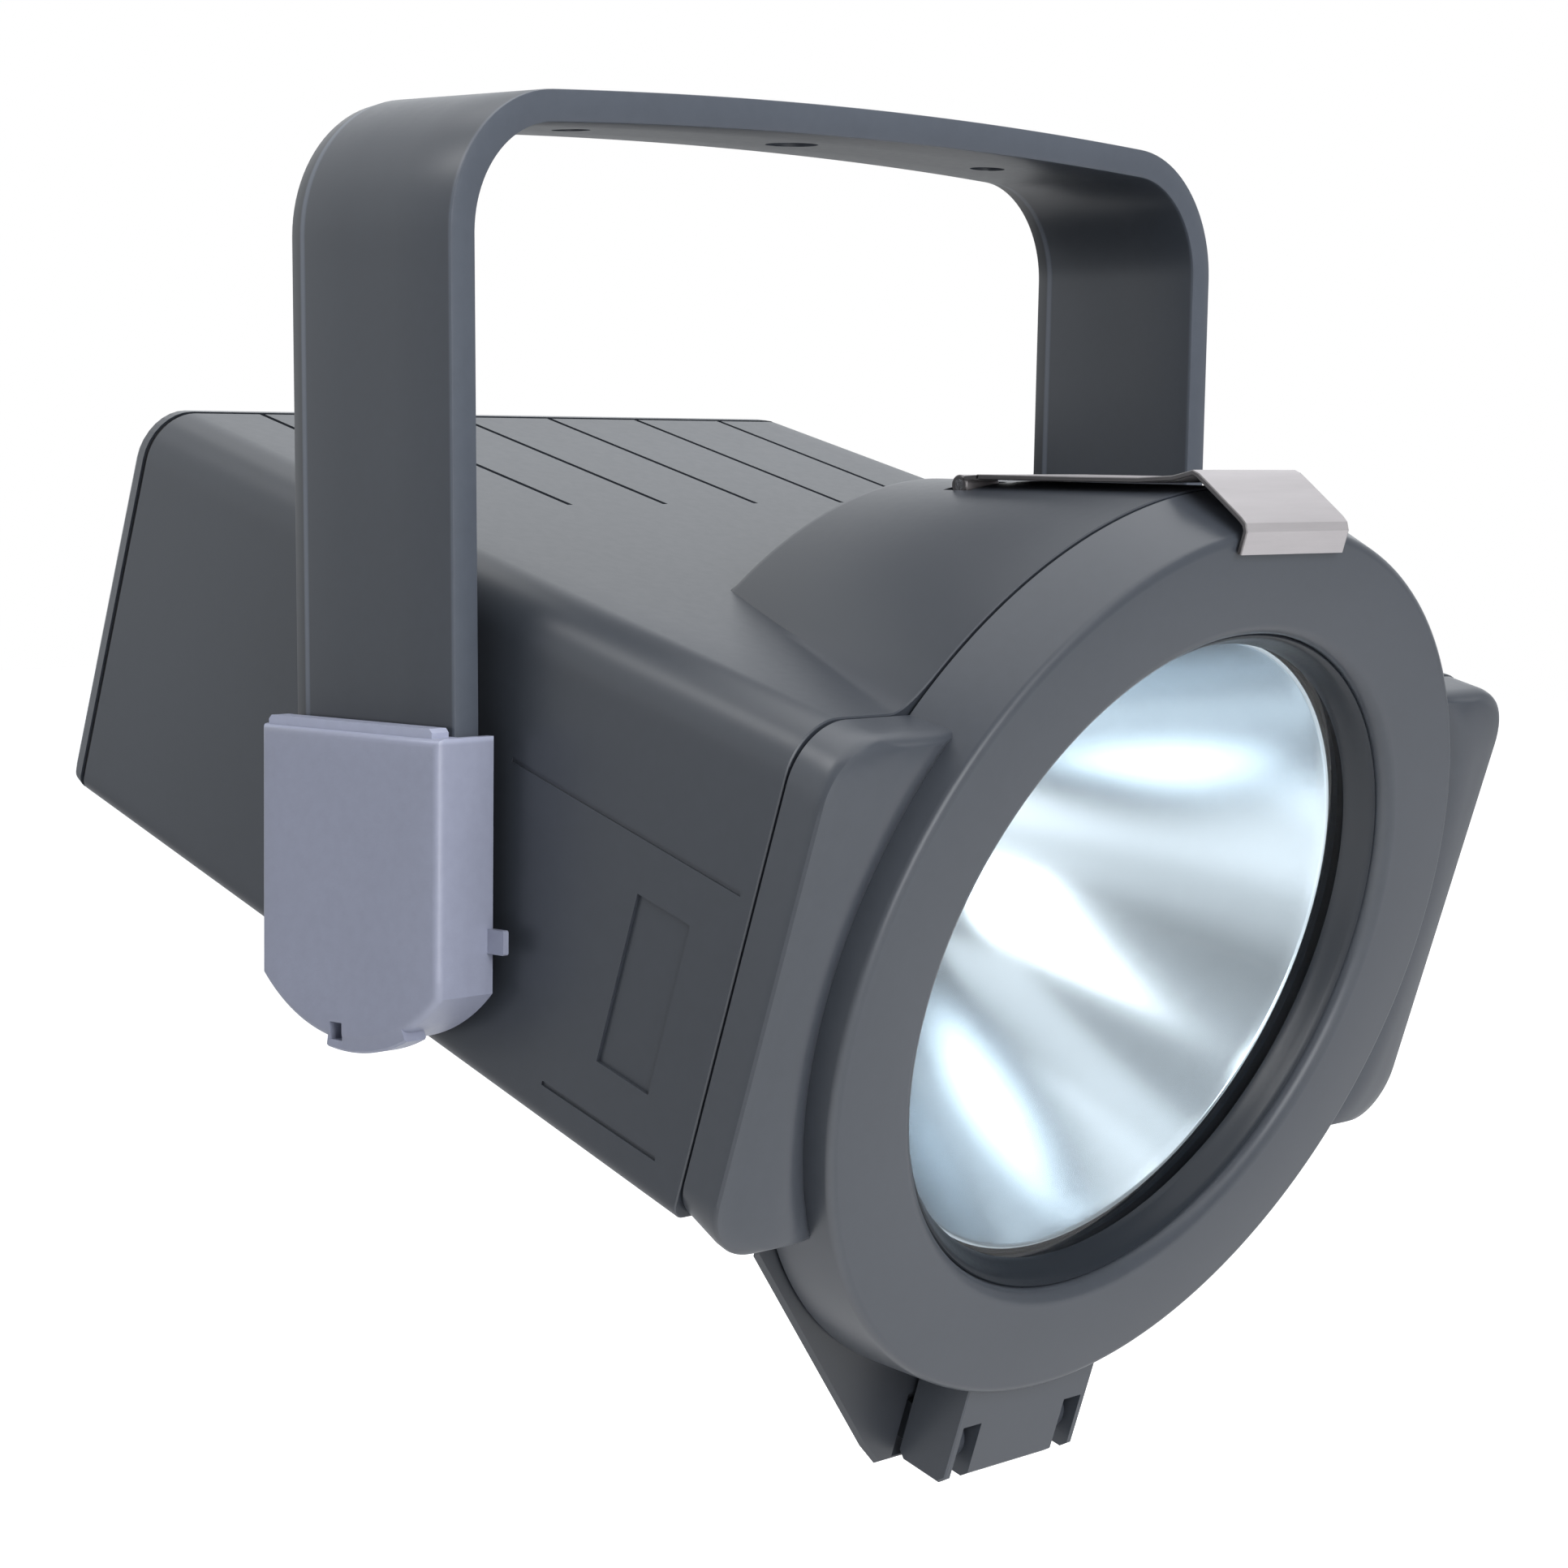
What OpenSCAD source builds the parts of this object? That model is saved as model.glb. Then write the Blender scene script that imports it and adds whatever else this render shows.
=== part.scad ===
// Display projector on a U-shaped yoke, lengths in mm, +Z up, beam towards -Y.
// The origin is the middle of the yoke's top face. The head is drawn about its tilt axis,
// with stations f forward along the beam and heights u above the tilt axis.

/* [Yoke] */
// Strap width
yoke_w = 53; // [48:1:56]
// Strap thickness
yoke_t = 7.2; // [6:0.1:7.4]
// Clearance between the head's front edges and the arms' inner faces
arm_clear = 2.6; // [2:0.1:6]
// Outward lean of each arm at the top bend
yoke_lean = 1.7; // [0:0.1:3]
// Outer bend radius
yoke_bend_r = 32; // [26:1:40]
// Radius of the top bar's arch
yoke_arch_r = 1950; // [1400:50:4000]
// Height of the tilt axis below the top face
pivot_drop = 171.7; // [171:0.1:200]
// Rounding radius of the arms' lower ends
arm_end_r = 27; // [26:0.5:29]

/* [Mount holes] */
// Middle hole diameter
hang_hole_d = 13; // [10:0.5:15]
// Side hole diameter
side_hole_d = 9; // [6:0.5:10]
// Distance between the two side holes
side_hole_gap = 150; // [120:1:160]

/* [Pivot] */
// Downward tilt of the head at rest
head_tilt = 17.79; // [10:0.01:25]
// Pivot bolt diameter
bolt_d = 10; // [8:0.5:11]
// Radial running clearance of shafts in their bores
run_fit = 0.05; // [0.02:0.01:0.1]
// Radial clearance of seated shanks
seat_fit = 0.02; // [0.01:0.01:0.03]
// Pivot boss diameter
boss_d = 40; // [34:1:44]
// Pivot boss length
boss_l = 14.5; // [10:0.5:18]
// Friction washer thickness
friction_t = 3; // [2:0.1:3.2]
// Spring washer thickness
spring_t = 1.2; // [0.8:0.1:1.4]
// Bolt head height
bolt_head_h = 3.8; // [3:0.1:3.9]
// Bolt head diameter
bolt_head_d = 22; // [18:0.5:26]
// Pivot nut thickness
pivot_nut_h = 8; // [6:0.5:9]
// Pivot nut diameter over its corners
pivot_nut_d = 19; // [17:0.5:22]

/* [Pivot covers] */
// Cover stand-off outside the arm
cover_out = 7.5; // [7.3:0.1:9]
// Cover wall thickness
cover_wall = 2; // [1.6:0.1:2]
// Gap between the cover's side walls and the arm
cover_gap = 1; // [0.5:0.1:1.5]
// Inner edge of the cover's side walls, from the arm's inner face
cover_lap = 1.5; // [0.5:0.1:2]
// Top edge of the cover above the tilt axis
cover_top = 28.5; // [26:0.5:32]
// Radius of the cover's lower end
cover_r = 40.6; // [39:0.1:42]
// Height of the stepped rim above the cover's top edge
cover_rim_h = 2; // [1:0.1:3]
// Height of the lip under the cover
cover_lip_h = 2; // [1:0.1:3]

/* [Housing] */
// Station of the parting plane
front_f = 100.9; // [99:0.1:102]
// Station of the housing's rear end
rear_f = -126.5; // [-128:0.5:-123]
// Half width at the parting plane
front_half = 124.9; // [124:0.1:125.2]
// Top height at the parting plane
front_top = 71.3; // [69:0.1:73]
// Bottom height at the parting plane
front_bottom = -41.5; // [-42.5:0.1:-40.5]
// Side taper in degrees
side_taper = 2.5; // [2.3:0.05:2.6]
// Top taper in degrees
top_taper = 2.3; // [2.1:0.05:2.6]
// Bottom taper in degrees
bottom_taper = 1.4; // [1.2:0.05:1.6]
// Rounding radius of the long top edges
top_edge_r = 12; // [10:0.5:13]
// Rounding radius of the long bottom edges
bottom_edge_r = 3.6; // [3.4:0.1:6]
// Wall thickness
wall = 3; // [2.6:0.1:3.2]
// Number of vent grooves in the top
vent_count = 6; // [2:2:6]
// Spacing of the vent grooves
vent_gap = 32.8; // [28:0.1:34]
// Front end of the vent grooves
vent_f = -48; // [-60:1:-40]
// Width of the vent grooves
vent_w = 1.8; // [1:0.1:3]
// Depth of the vent grooves
vent_depth = 1.6; // [0.8:0.1:1.8]
// Width of the side grooves
groove_w = 1.4; // [0.8:0.1:2]
// Depth of the side grooves
groove_depth = 1; // [0.5:0.1:1.5]
// Height of the upper side groove
groove_high_u = 31.5; // [28:0.5:36]
// Height of the lower side groove
groove_low_u = -31.4; // [-33:0.1:-29]
// Height of the recessed side panel
panel_h = 39; // [30:1:44]
// Length of the recessed side panel
panel_l = 17; // [12:1:20]

/* [Fairing] */
// Height of the optical axis above the tilt axis
axis_u = 10.7; // [10:0.1:11.4]
// Rear edge of the upper fairing
fair_f = 19; // [15:0.5:24]
// Radius of the fairing at its rear edge
fair_r = 84; // [82:0.5:86]
// Radius at the parting plane
ring_r = 110; // [109:0.1:111]
// Rear end of the lower fairing
low_f = 38; // [34:0.5:42]

/* [Front frame] */
// Gap between the housing and the front frame
part_gap = 0.6; // [0.4:0.1:0.8]
// Station of the ring's front face
face_f = 119.9; // [119:0.1:121]
// Outer radius of the ring's front face
face_r = 106.4; // [105:0.1:107]
// Chamfer on the ring's front edge
face_edge = 1; // [0.5:0.1:1.5]
// Width of the front ring from its opening to its rear edge
ring_land = 27.5; // [26:0.1:28.5]
// Station of the wings' front edges
wing_f = 116.8; // [116:0.1:117.5]
// Flare of the wings beyond the housing's front edge
wing_flare = 1.1; // [0.3:0.1:1.3]
// Rounding radius of the wings' corners
wing_r = 13; // [11:0.5:15]
// Depth of the groove between the wings and the ring
groove_deep = 4.2; // [3:0.1:5]
// Slope of the wings' front faces, as the drop at their outer edges
wing_drop = 4.6; // [3:0.1:5.5]

/* [Glass] */
// Lap of the glass behind the ring's opening
glass_lap = 1.5; // [0.5:0.1:2]
// Glass thickness
glass_t = 3.5; // [3:0.1:4]
// Station of the glass's rear face
glass_f = 107; // [106.8:0.1:107.2]
// Gasket lip thickness behind the glass
lip_t = 1.5; // [1:0.1:2]
// Reach of the gasket inside the ring's opening
gasket_reach = 6.2; // [5.5:0.1:7]
// Glass clip thickness
clip_plate_t = 1.5; // [1:0.1:1.5]
// Number of glass clips
clip_plate_count = 3; // [2:1:4]

/* [Hinge] */
// Station of the hinge axis
hinge_f = 109; // [108.6:0.1:109.4]
// Drop of the hinge axis below the fairing's edge
hinge_drop = 12.2; // [11.7:0.1:13.5]
// Hinge pin diameter
hinge_pin_d = 5; // [4:0.1:5.5]
// Half width of the tongue
tongue_half = 24; // [23:0.5:26]
// Thickness of the tongue
tongue_t = 15; // [14:0.1:15]
// Reach of the tongue below the hinge axis
tongue_drop = 8; // [6.5:0.5:8]
// Middle of each lug from the centre
lug_x = 18.75; // [18:0.25:19]
// Lug width
lug_w = 5.5; // [4.5:0.1:6]
// Side clearance of a lug in its slot
lug_gap = 0.5; // [0.4:0.1:0.8]
// Lug radius
lug_r = 5; // [4.6:0.1:6]
// Rear face of the hinge bracket
bracket_f = 96.5; // [95:0.5:97]
// Reach of the hinge bracket below the hinge axis
bracket_reach = 9.5; // [8.5:0.5:11]
// Clearance around the turning tongue
tongue_gap = 0.6; // [0.4:0.1:1]

/* [Clip] */
// Half width of the clip
clip_half = 19.5; // [17:0.5:21]
// Sheet thickness of the clip
clip_t = 1.2; // [1:0.1:1.4]
// Station of the clip pin
clip_f = 42; // [41:0.5:44]
// Clip pin diameter
clip_pin_d = 2.5; // [2:0.1:2.6]
// Outer radius of the clip's eyes
eye_r = 2.3; // [2.1:0.1:2.4]
// Half width of the fixed lug between the eyes
clip_lug_half = 7; // [5:0.5:9]
// Station of the clip's highest fold
clip_fold_f = 103.5; // [100:0.5:106]
// Length of the clip's lip
clip_lip_l = 5.9; // [4:0.1:7]
// Clearance of the clip's fold above the ring
clip_lift = 3.5; // [2:0.1:5]
// Clearance between the clip and what it lies on
clip_gap = 0.3; // [0.2:0.05:0.6]

/* [Reflector and lamp] */
// Step of the reflector's rim inside the ring's opening
refl_step = 7.5; // [7:0.5:10]
// Station of the reflector rim
refl_f = 105.8; // [104:0.1:106]
// Station of the reflector's vertex
refl_vertex_f = 22; // [21:0.5:24]
// Radius of the reflector's neck hole
neck_r = 13; // [11:0.5:14]
// Clearance between the reflector flange and the front seal
flange_gap = 6; // [5:0.5:8]
// Bulb radius
bulb_r = 7; // [5:0.5:9]
// Station of the bulb's tip
bulb_tip_f = 43; // [38:0.5:44]
// Lamp cap radius
cap_r = 9; // [7:0.5:11]
// Lamp holder radius
holder_r = 15; // [13:0.5:17]
// Half width of the holder bracket
bracket_half = 28; // [27:0.5:29]

/* [Control gear] */
// Clearance between the ballast and the holder bracket
ballast_gap = 10; // [9:0.5:14]
// Ballast length
ballast_l = 96; // [80:1:98]
// Ballast height
ballast_h = 51; // [40:1:56]
// Ignitor radius
ignitor_r = 17; // [13:0.5:17]
// Ignitor height
ignitor_h = 65; // [50:1:70]
// Capacitor radius
capacitor_r = 19; // [15:0.5:19]
// Capacitor height
capacitor_h = 72; // [60:1:76]
// Terminal block length
terminal_l = 70; // [40:1:76]
// Terminal block height
terminal_h = 19; // [14:1:24]
// Lead wire diameter
lead_d = 2.8; // [2:0.1:3.2]

/* [Rear cover] */
// Rear gasket thickness
seam_t = 1; // [0.6:0.1:1.4]
// Rear cover depth
rear_depth = 6.5; // [6:0.1:8]
// Gland thread radius
gland_r = 10; // [8:0.5:11]
// Gland position to the side
gland_x = 20; // [0:1:30]

/* [Hidden] */
$fn = 96;
skin = 0.02;
big = 4 * front_half;
yoke_half = front_half + arm_clear + yoke_t;
wing_half = front_half + wing_flare;
open_r = ring_r - ring_land;
glass_r = open_r + glass_lap;
gasket_r = open_r - gasket_reach;
refl_r = open_r - refl_step;
hinge_u = axis_u - ring_r - hinge_drop;
bracket_u = hinge_u - bracket_reach;
room_r = norm([tongue_t / 2, tongue_drop]) + tongue_gap;
arm_top_half = yoke_half + yoke_lean;
bend_x = arm_top_half - yoke_bend_r;
arch_gap = yoke_arch_r - yoke_bend_r;
bend_z = sqrt(arch_gap * arch_gap - bend_x * bend_x) - yoke_arch_r;
arm_in = yoke_half - yoke_t;
boss_out = arm_in - friction_t;
boss_in = boss_out - boss_l;
frame_f = front_f + part_gap;
fair_slope = (ring_r - fair_r) / (front_f - fair_f);
low_r = ring_r - (front_f - low_f);
seal_r = ring_r - 11;
seal_w = 3;
seal_depth = 1.4;
front_open_r = refl_r + 7;
flange_r = seal_r - flange_gap;
refl_screw_r = (front_open_r + flange_r) / 2;
recess_r = ring_r - 13;
recess_f = glass_f - lip_t;
lip_f = glass_f + glass_t + 2.5;
frame_lip_r = open_r - 2;
rebate_r = glass_r + 4.2;
plate_screw_r = (rebate_r + recess_r) / 2;
plate_in_r = rebate_r - 3.7;
refl_a = refl_r * refl_r / (refl_f - refl_vertex_f);
refl_skin = 2.4;
flange_t = 1.2;
clip_u = axis_u + fair_r + (clip_f - fair_f) * fair_slope - 1;
clip_base_f = clip_f + 5;
clip_base_u = axis_u + fair_r + (clip_base_f - fair_f) * fair_slope + clip_gap;
clip_fold_u = axis_u + ring_r + clip_lift;
clip_nose_u = axis_u + face_r + 3 * clip_gap;
clip_lip_u = clip_nose_u - clip_lip_l;
clip_front_f = face_f + clip_gap + 0.1;
tray_u = -27;
tray_t = 1.5;
tray_half = half_at(rear_f) - wall - 12;
tray_rear_f = rear_f + 15;
tray_front_f = -8;
ballast_x0 = -tray_half + 18;
ballast_x1 = -bracket_half - ballast_gap;
ear_half = bracket_half - 2;
ear_screw_x = bracket_half - 7;
ballast_f = tray_front_f - 4;
terminal_x = tray_half - 2;
terminal_w = 20;
terminal_f = tray_front_f - 50;
ignitor_x = bracket_half + ignitor_r + 3;
ignitor_f = tray_front_f - ignitor_r - 15;
capacitor_x = terminal_x - terminal_w - capacitor_r - 7;
capacitor_f = tray_rear_f + capacitor_r + 5;
tray_screw_x = tray_half - 12;
gasket_f = rear_f - seam_t;
cover_rear_f = gasket_f - rear_depth;
plate_floor_f = gasket_f - 3.5;
screw_r = 2;
small_r = 1.5;
post_in = 9.2;
post_r = 6.5;
gland_u = axis_u;

function half_at(f) = front_half - (front_f - f) * tan(side_taper);
function top_at(f) = front_top - (front_f - f) * tan(top_taper);
function bottom_at(f) = front_bottom + (front_f - f) * tan(bottom_taper);
function refl_at(r) = refl_vertex_f + r * r / refl_a;

// The head's own frame: turned about the tilt axis
module head() {
  translate([0, 0, -pivot_drop]) rotate([head_tilt, 0, 0]) children();
}

// Child +Z runs forward along the beam from station f, centred on the optical axis
module on_axis(f) {
  translate([0, -f, axis_u]) rotate([90, 0, 0]) children();
}

// Child outline in side and height, drawn forward from station f
module plate(f, h) {
  translate([0, -f, 0]) rotate([90, 0, 0]) linear_extrude(h) children();
}

// Child +Z runs to the side through station f and height u
module across(f, u) {
  translate([0, -f, u]) rotate([0, 90, 0]) children();
}

// Child outline in station and height, drawn across the width
module profile(w) {
  rotate([90, 0, -90]) linear_extrude(w, center = true) children();
}

// Block between two stations, sides and heights
module block(x0, x1, f0, f1, u0, u1) {
  translate([x0, -f1, u0]) cube([x1 - x0, f1 - f0, u1 - u0]);
}

module corner_disc(x, u, r, f) {
  translate([x, -f, u]) rotate([90, 0, 0]) cylinder(r = r, h = skin, $fn = 32);
}

module corners(f, half, top, bottom, rt, rb) {
  for (s = [-1, 1]) {
    corner_disc(s * (half - rt), top - rt, rt, f);
    corner_disc(s * (half - rb), bottom + rb, rb, f);
  }
}

// Tapered box with rounded long edges
module box_body(f0, f1, inset) {
  rt = top_edge_r - inset;
  rb = bottom_edge_r - inset;
  hull() {
    corners(f0, half_at(f0) - inset, top_at(f0) - inset, bottom_at(f0) + inset, rt, rb);
    corners(f1 - skin, half_at(f1) - inset, top_at(f1) - inset, bottom_at(f1) + inset, rt, rb);
  }
}

module round_rect(half, top, bottom, rt, rb) {
  translate([-half + rt, bottom + rb]) square([2 * (half - rt), top - bottom - rb]);
  translate([-half + rb, bottom]) square([2 * (half - rb), rb * 2]);
  translate([-half, bottom + rb]) square([2 * half, top - bottom - rt - rb]);
  for (s = [-1, 1]) {
    translate([s * (half - rt), top - rt]) circle(r = rt);
    translate([s * (half - rb), bottom + rb]) circle(r = rb);
  }
}

// Filled outline of the yoke, drawn inward by d
module yoke_fill(d) {
  arch = yoke_arch_r - d;
  tangent_x = bend_x * arch / arch_gap;
  intersection() {
    translate([0, -yoke_arch_r]) circle(r = arch, $fn = 900);
    translate([-tangent_x, bend_z - 20]) square([2 * tangent_x, 60]);
  }
  for (s = [-1, 1])
    translate([s * bend_x, bend_z]) circle(r = yoke_bend_r - d);
  polygon([
    [-yoke_half + d, -big], [yoke_half - d, -big],
    [yoke_half - d, -pivot_drop + 31], [arm_top_half - d, bend_z],
    [-arm_top_half + d, bend_z], [-yoke_half + d, -pivot_drop + 31]
  ]);
}

module yoke() {
  color([0.30, 0.32, 0.35])
  difference() {
    intersection() {
      rotate([90, 0, 0]) linear_extrude(yoke_w, center = true) difference() {
        yoke_fill(0);
        yoke_fill(yoke_t);
      }
      union() {
        translate([-big / 2, -yoke_w / 2, -pivot_drop]) cube([big, yoke_w, pivot_drop + 10]);
        intersection() {
          translate([0, 0, -pivot_drop]) rotate([0, 90, 0]) cylinder(r = arm_end_r, h = big, center = true);
          translate([-big / 2, -yoke_w / 2, -pivot_drop - arm_end_r]) cube([big, yoke_w, arm_end_r + 1]);
        }
      }
    }
    translate([0, 0, -pivot_drop]) rotate([0, 90, 0])
      cylinder(d = bolt_d + 2 * run_fit, h = big, center = true);
    translate([0, 0, -20]) cylinder(d = hang_hole_d, h = 40);
    for (s = [-1, 1])
      translate([s * side_hole_gap / 2, 0, -20]) cylinder(d = side_hole_d, h = 40);
  }
}

// Outline of a pivot cover in station and height, drawn inward by d
module cover_outline(d) {
  w = yoke_w / 2 + cover_gap + cover_wall - d;
  translate([-w, -cover_r / 2]) square([2 * w, cover_top + cover_r / 2]);
  intersection() {
    circle(r = cover_r - d);
    translate([-w, -cover_r]) square([2 * w, cover_r]);
  }
}

// Curved lip along the cover's round lower end
module cover_lip() {
  intersection() {
    difference() {
      circle(r = cover_r + cover_lip_h);
      circle(r = cover_r - 2);
    }
    translate([-7, -cover_r - 5]) square([26, cover_r]);
  }
}

module pivot_cover(s) {
  x_in = arm_in - cover_lap;
  x_out = yoke_half + cover_out;
  w = yoke_w / 2 + cover_gap + cover_wall;
  translate([0, 0, -pivot_drop]) difference() {
    union() {
      translate([s * (x_in + x_out) / 2, 0, 0]) profile(x_out - x_in) cover_outline(0);
      translate([s * (yoke_half + x_out) / 2, 1, cover_top + cover_rim_h / 2])
        cube([x_out - yoke_half - 3, 2 * w - 5, cover_rim_h], center = true);
      translate([s * (yoke_half + 1 + x_out) / 2, 0, 0]) profile(x_out - yoke_half - 1) cover_lip();
      translate([s * (x_in + 0.8), -w - 2, -16.3]) cube([1.6, 6, 5.4], center = true);
    }
    translate([s * (x_in + yoke_half) / 2 - s * 2, 0, 0])
      profile(yoke_half - x_in + 4 + 0.001) cover_outline(cover_wall);
    translate([s * (yoke_half + x_out - cover_wall) / 2, 0, 0])
      profile(x_out - cover_wall - yoke_half + 0.002) circle(r = bolt_head_d / 2 + 2);
    translate([s * (x_in + yoke_half) / 2, 0, cover_top])
      cube([yoke_half - x_in + 4, yoke_w + 2 * cover_gap, 20], center = true);
    translate([s * x_out, 3.8, -38.3]) cube([10, 4, 4], center = true);
  }
}

module pivot_cover_left() {
  color([0.58, 0.60, 0.66]) pivot_cover(-1);
}

module pivot_cover_right() {
  color([0.58, 0.60, 0.66]) pivot_cover(1);
}

// Child +Z runs outward along the tilt axis on each side
module both_sides() {
  for (s = [-1, 1])
    translate([0, 0, -pivot_drop]) rotate([0, s * 90, 0]) children();
}

module pivot_bolts() {
  color([0.62, 0.62, 0.64]) both_sides() {
    translate([0, 0, boss_in - pivot_nut_h - 2])
      cylinder(d = bolt_d, h = yoke_half + spring_t - boss_in + pivot_nut_h + 2);
    translate([0, 0, yoke_half + spring_t]) difference() {
      cylinder(d = bolt_head_d, h = bolt_head_h);
      translate([0, 0, bolt_head_h - 2]) cylinder(d = bolt_d * 0.8, h = 3, $fn = 6);
    }
  }
}

module ring_disc(z, r_out, r_in, h) {
  translate([0, 0, z]) difference() {
    cylinder(r = r_out, h = h);
    translate([0, 0, -1]) cylinder(r = r_in, h = h + 2);
  }
}

module spring_washers() {
  color([0.55, 0.55, 0.57]) both_sides()
    ring_disc(yoke_half, bolt_head_d / 2, bolt_d / 2 + seat_fit, spring_t);
}

module friction_washers() {
  color([0.2, 0.2, 0.2]) both_sides() ring_disc(boss_out, boss_d / 2, bolt_d / 2 + seat_fit, friction_t);
}

module pivot_nuts() {
  color([0.62, 0.62, 0.64]) both_sides() translate([0, 0, boss_in - pivot_nut_h]) difference() {
    cylinder(d = pivot_nut_d, h = pivot_nut_h, $fn = 6);
    translate([0, 0, -1]) cylinder(r = bolt_d / 2 + seat_fit, h = pivot_nut_h + 2);
  }
}

// Positions of the rear cover screws
module rear_points() {
  for (s = [-1, 1]) {
    translate([s * (half_at(rear_f) - post_in), 0, top_at(rear_f) - post_in]) children();
    translate([s * (half_at(rear_f) - post_in), 0, bottom_at(rear_f) + post_in]) children();
  }
}

// Positions of the tray screws
module tray_points() {
  for (x = [-tray_screw_x, tray_screw_x])
    for (f = [tray_rear_f + 8, tray_front_f - 8])
      translate([x, -f, 0]) children();
}

// Posts from the housing's floor to the tray
module tray_posts() {
  for (x = [-tray_screw_x, tray_screw_x])
    for (f = [tray_rear_f + 8, tray_front_f - 8])
      translate([x, -f, bottom_at(f) + 1]) cylinder(r = 6, h = tray_u - tray_t - bottom_at(f) - 1);
}

module tray_bores(r) {
  tray_points() translate([0, 0, tray_u - 5]) cylinder(r = r, h = 20);
}

module bracket_outline() {
  top_x = ring_r * 0.855;
  top_u = axis_u - ring_r * 0.602;
  low_x = tongue_half + 13.5;
  polygon([
    [-top_x, axis_u - ring_r / 2], [top_x, axis_u - ring_r / 2], [top_x, top_u], [low_x, hinge_u - 3.1],
    [low_x - 7.5, bracket_u], [7.5 - low_x, bracket_u], [-low_x, hinge_u - 3.1], [-top_x, top_u]
  ]);
}

module housing_outside() {
  box_body(rear_f, front_f, 0);
  intersection() {
    on_axis(fair_f) cylinder(r1 = fair_r, r2 = ring_r, h = front_f - fair_f);
    block(-big / 2, big / 2, 0, front_f, 0, big / 2);
  }
  intersection() {
    on_axis(low_f) cylinder(r1 = low_r, r2 = ring_r, h = front_f - low_f);
    block(-big / 2, big / 2, 0, front_f, -big / 2, 0.01);
  }
  plate(bracket_f, front_f - bracket_f) bracket_outline();
  // Thicker back behind the turning tongue, and a rib behind each lug
  back_f = hinge_f - room_r - 6;
  rib_f = bracket_f - 22;
  block(-tongue_half - 4, tongue_half + 4, back_f, bracket_f + 1, bracket_u + 1.2, hinge_u + room_r + 4);
  for (s = [-1, 1])
    translate([s * lug_x, 0, 0]) profile(lug_w) polygon([
      [bracket_f + 1, bracket_u + 2], [bracket_f + 1, axis_u - ring_r + 8],
      [rib_f, axis_u - ring_r + front_f - rib_f + 3]
    ]);
}

module housing_inside() {
  back_f = front_f - wall;
  box_body(rear_f - 1, back_f, wall);
  intersection() {
    on_axis(fair_f + wall) cylinder(r1 = fair_r + wall * fair_slope - wall * 1.1,
      r2 = ring_r - wall * fair_slope - wall * 1.1, h = back_f - fair_f - wall);
    block(-big / 2, big / 2, 0, front_f, 0, big / 2);
  }
  intersection() {
    on_axis(low_f) cylinder(r1 = low_r - wall * 1.5, r2 = ring_r - wall - wall * 1.5, h = back_f - low_f);
    block(-big / 2, big / 2, 0, front_f, -big / 2, 0.01);
  }
  on_axis(back_f - 1) cylinder(r = front_open_r, h = wall + 3);
}

// Cut along a side wall: station of its front end, height, length, width and depth
module side_cut(f, u, l, h, depth) {
  for (s = [-1, 1])
    translate([s * half_at(f), -f, u]) rotate([0, 0, s * side_taper])
      translate([-depth, 0, -h / 2]) cube([2 * depth, l, h]);
}

module housing() {
  color([0.32, 0.34, 0.37]) head() difference() {
    union() {
      difference() {
        housing_outside();
        housing_inside();
      }
      for (s = [-1, 1]) {
        translate([s * (boss_in + boss_out) / 2, 0, 0]) rotate([0, 90, 0])
          cylinder(d = boss_d, h = boss_out - boss_in, center = true);
        translate([s * lug_x, 0, 0]) across(hinge_f, hinge_u) cylinder(r = lug_r, h = lug_w, center = true);
        block(s * lug_x - lug_w / 2, s * lug_x + lug_w / 2, front_f - 7, hinge_f,
          hinge_u - lug_r, hinge_u + lug_r);
      }
      rear_points() translate([0, -rear_f, 0]) rotate([90, 0, 0]) cylinder(r = post_r, h = 14);
      tray_posts();
      intersection() {
        on_axis(fair_f) cylinder(r1 = fair_r, r2 = ring_r, h = front_f - fair_f);
        block(-clip_half - 4, clip_half + 4, clip_f - 8, clip_f + 9, clip_u - 8, clip_u + 20);
      }
    }
    across(0, 0) cylinder(r = bolt_d / 2 + seat_fit, h = big, center = true);
    // Room for the turning tongue, left of, between and right of the lugs
    for (s = [-1, 1])
      hinge_room(s * (tongue_half + 1 + lug_x + lug_w / 2) / 2, tongue_half + 1 - lug_x - lug_w / 2);
    hinge_room(0, 2 * lug_x - lug_w);
    across(hinge_f, hinge_u) cylinder(r = hinge_pin_d / 2 + seat_fit, h = 80, center = true);
    // Clip pocket on both sides of the fixed lug
    for (s = [-1, 1])
      clip_pocket(s * (clip_half + 0.8 + clip_lug_half) / 2, clip_half + 0.8 - clip_lug_half);
    across(clip_f, clip_u) cylinder(d = clip_pin_d + 2 * seat_fit, h = 2 * clip_half + 1.6, center = true);
    block(-clip_lug_half - 1, clip_lug_half + 1, clip_f - 3.5, clip_f + 4, clip_u + 2.2, clip_u + 12);
    on_axis(front_f - seal_depth) ring_disc(0, seal_r + seal_w + 0.1, seal_r - 0.1, 10);
    rear_points() translate([0, -rear_f + 1, 0]) rotate([90, 0, 0]) cylinder(r = screw_r, h = 13);
    tray_bores(screw_r);
    screw_circle(3, refl_screw_r, 90)
      translate([0, 0, front_f - wall - 1]) cylinder(r = small_r, h = wall + 3);
    for (i = [0 : vent_count - 1])
      translate([(i - (vent_count - 1) / 2) * vent_gap, -vent_f, top_at(vent_f)]) rotate([-top_taper, 0, 0])
        translate([-vent_w / 2, 0, -vent_depth]) cube([vent_w, 90, 10]);
    side_cut(97, groove_high_u, 75, groove_w, groove_depth);
    side_cut(92, groove_low_u, 38, groove_w, groove_depth);
    side_cut(85.5, 0, panel_l, panel_h, groove_depth);
  }
}

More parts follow.
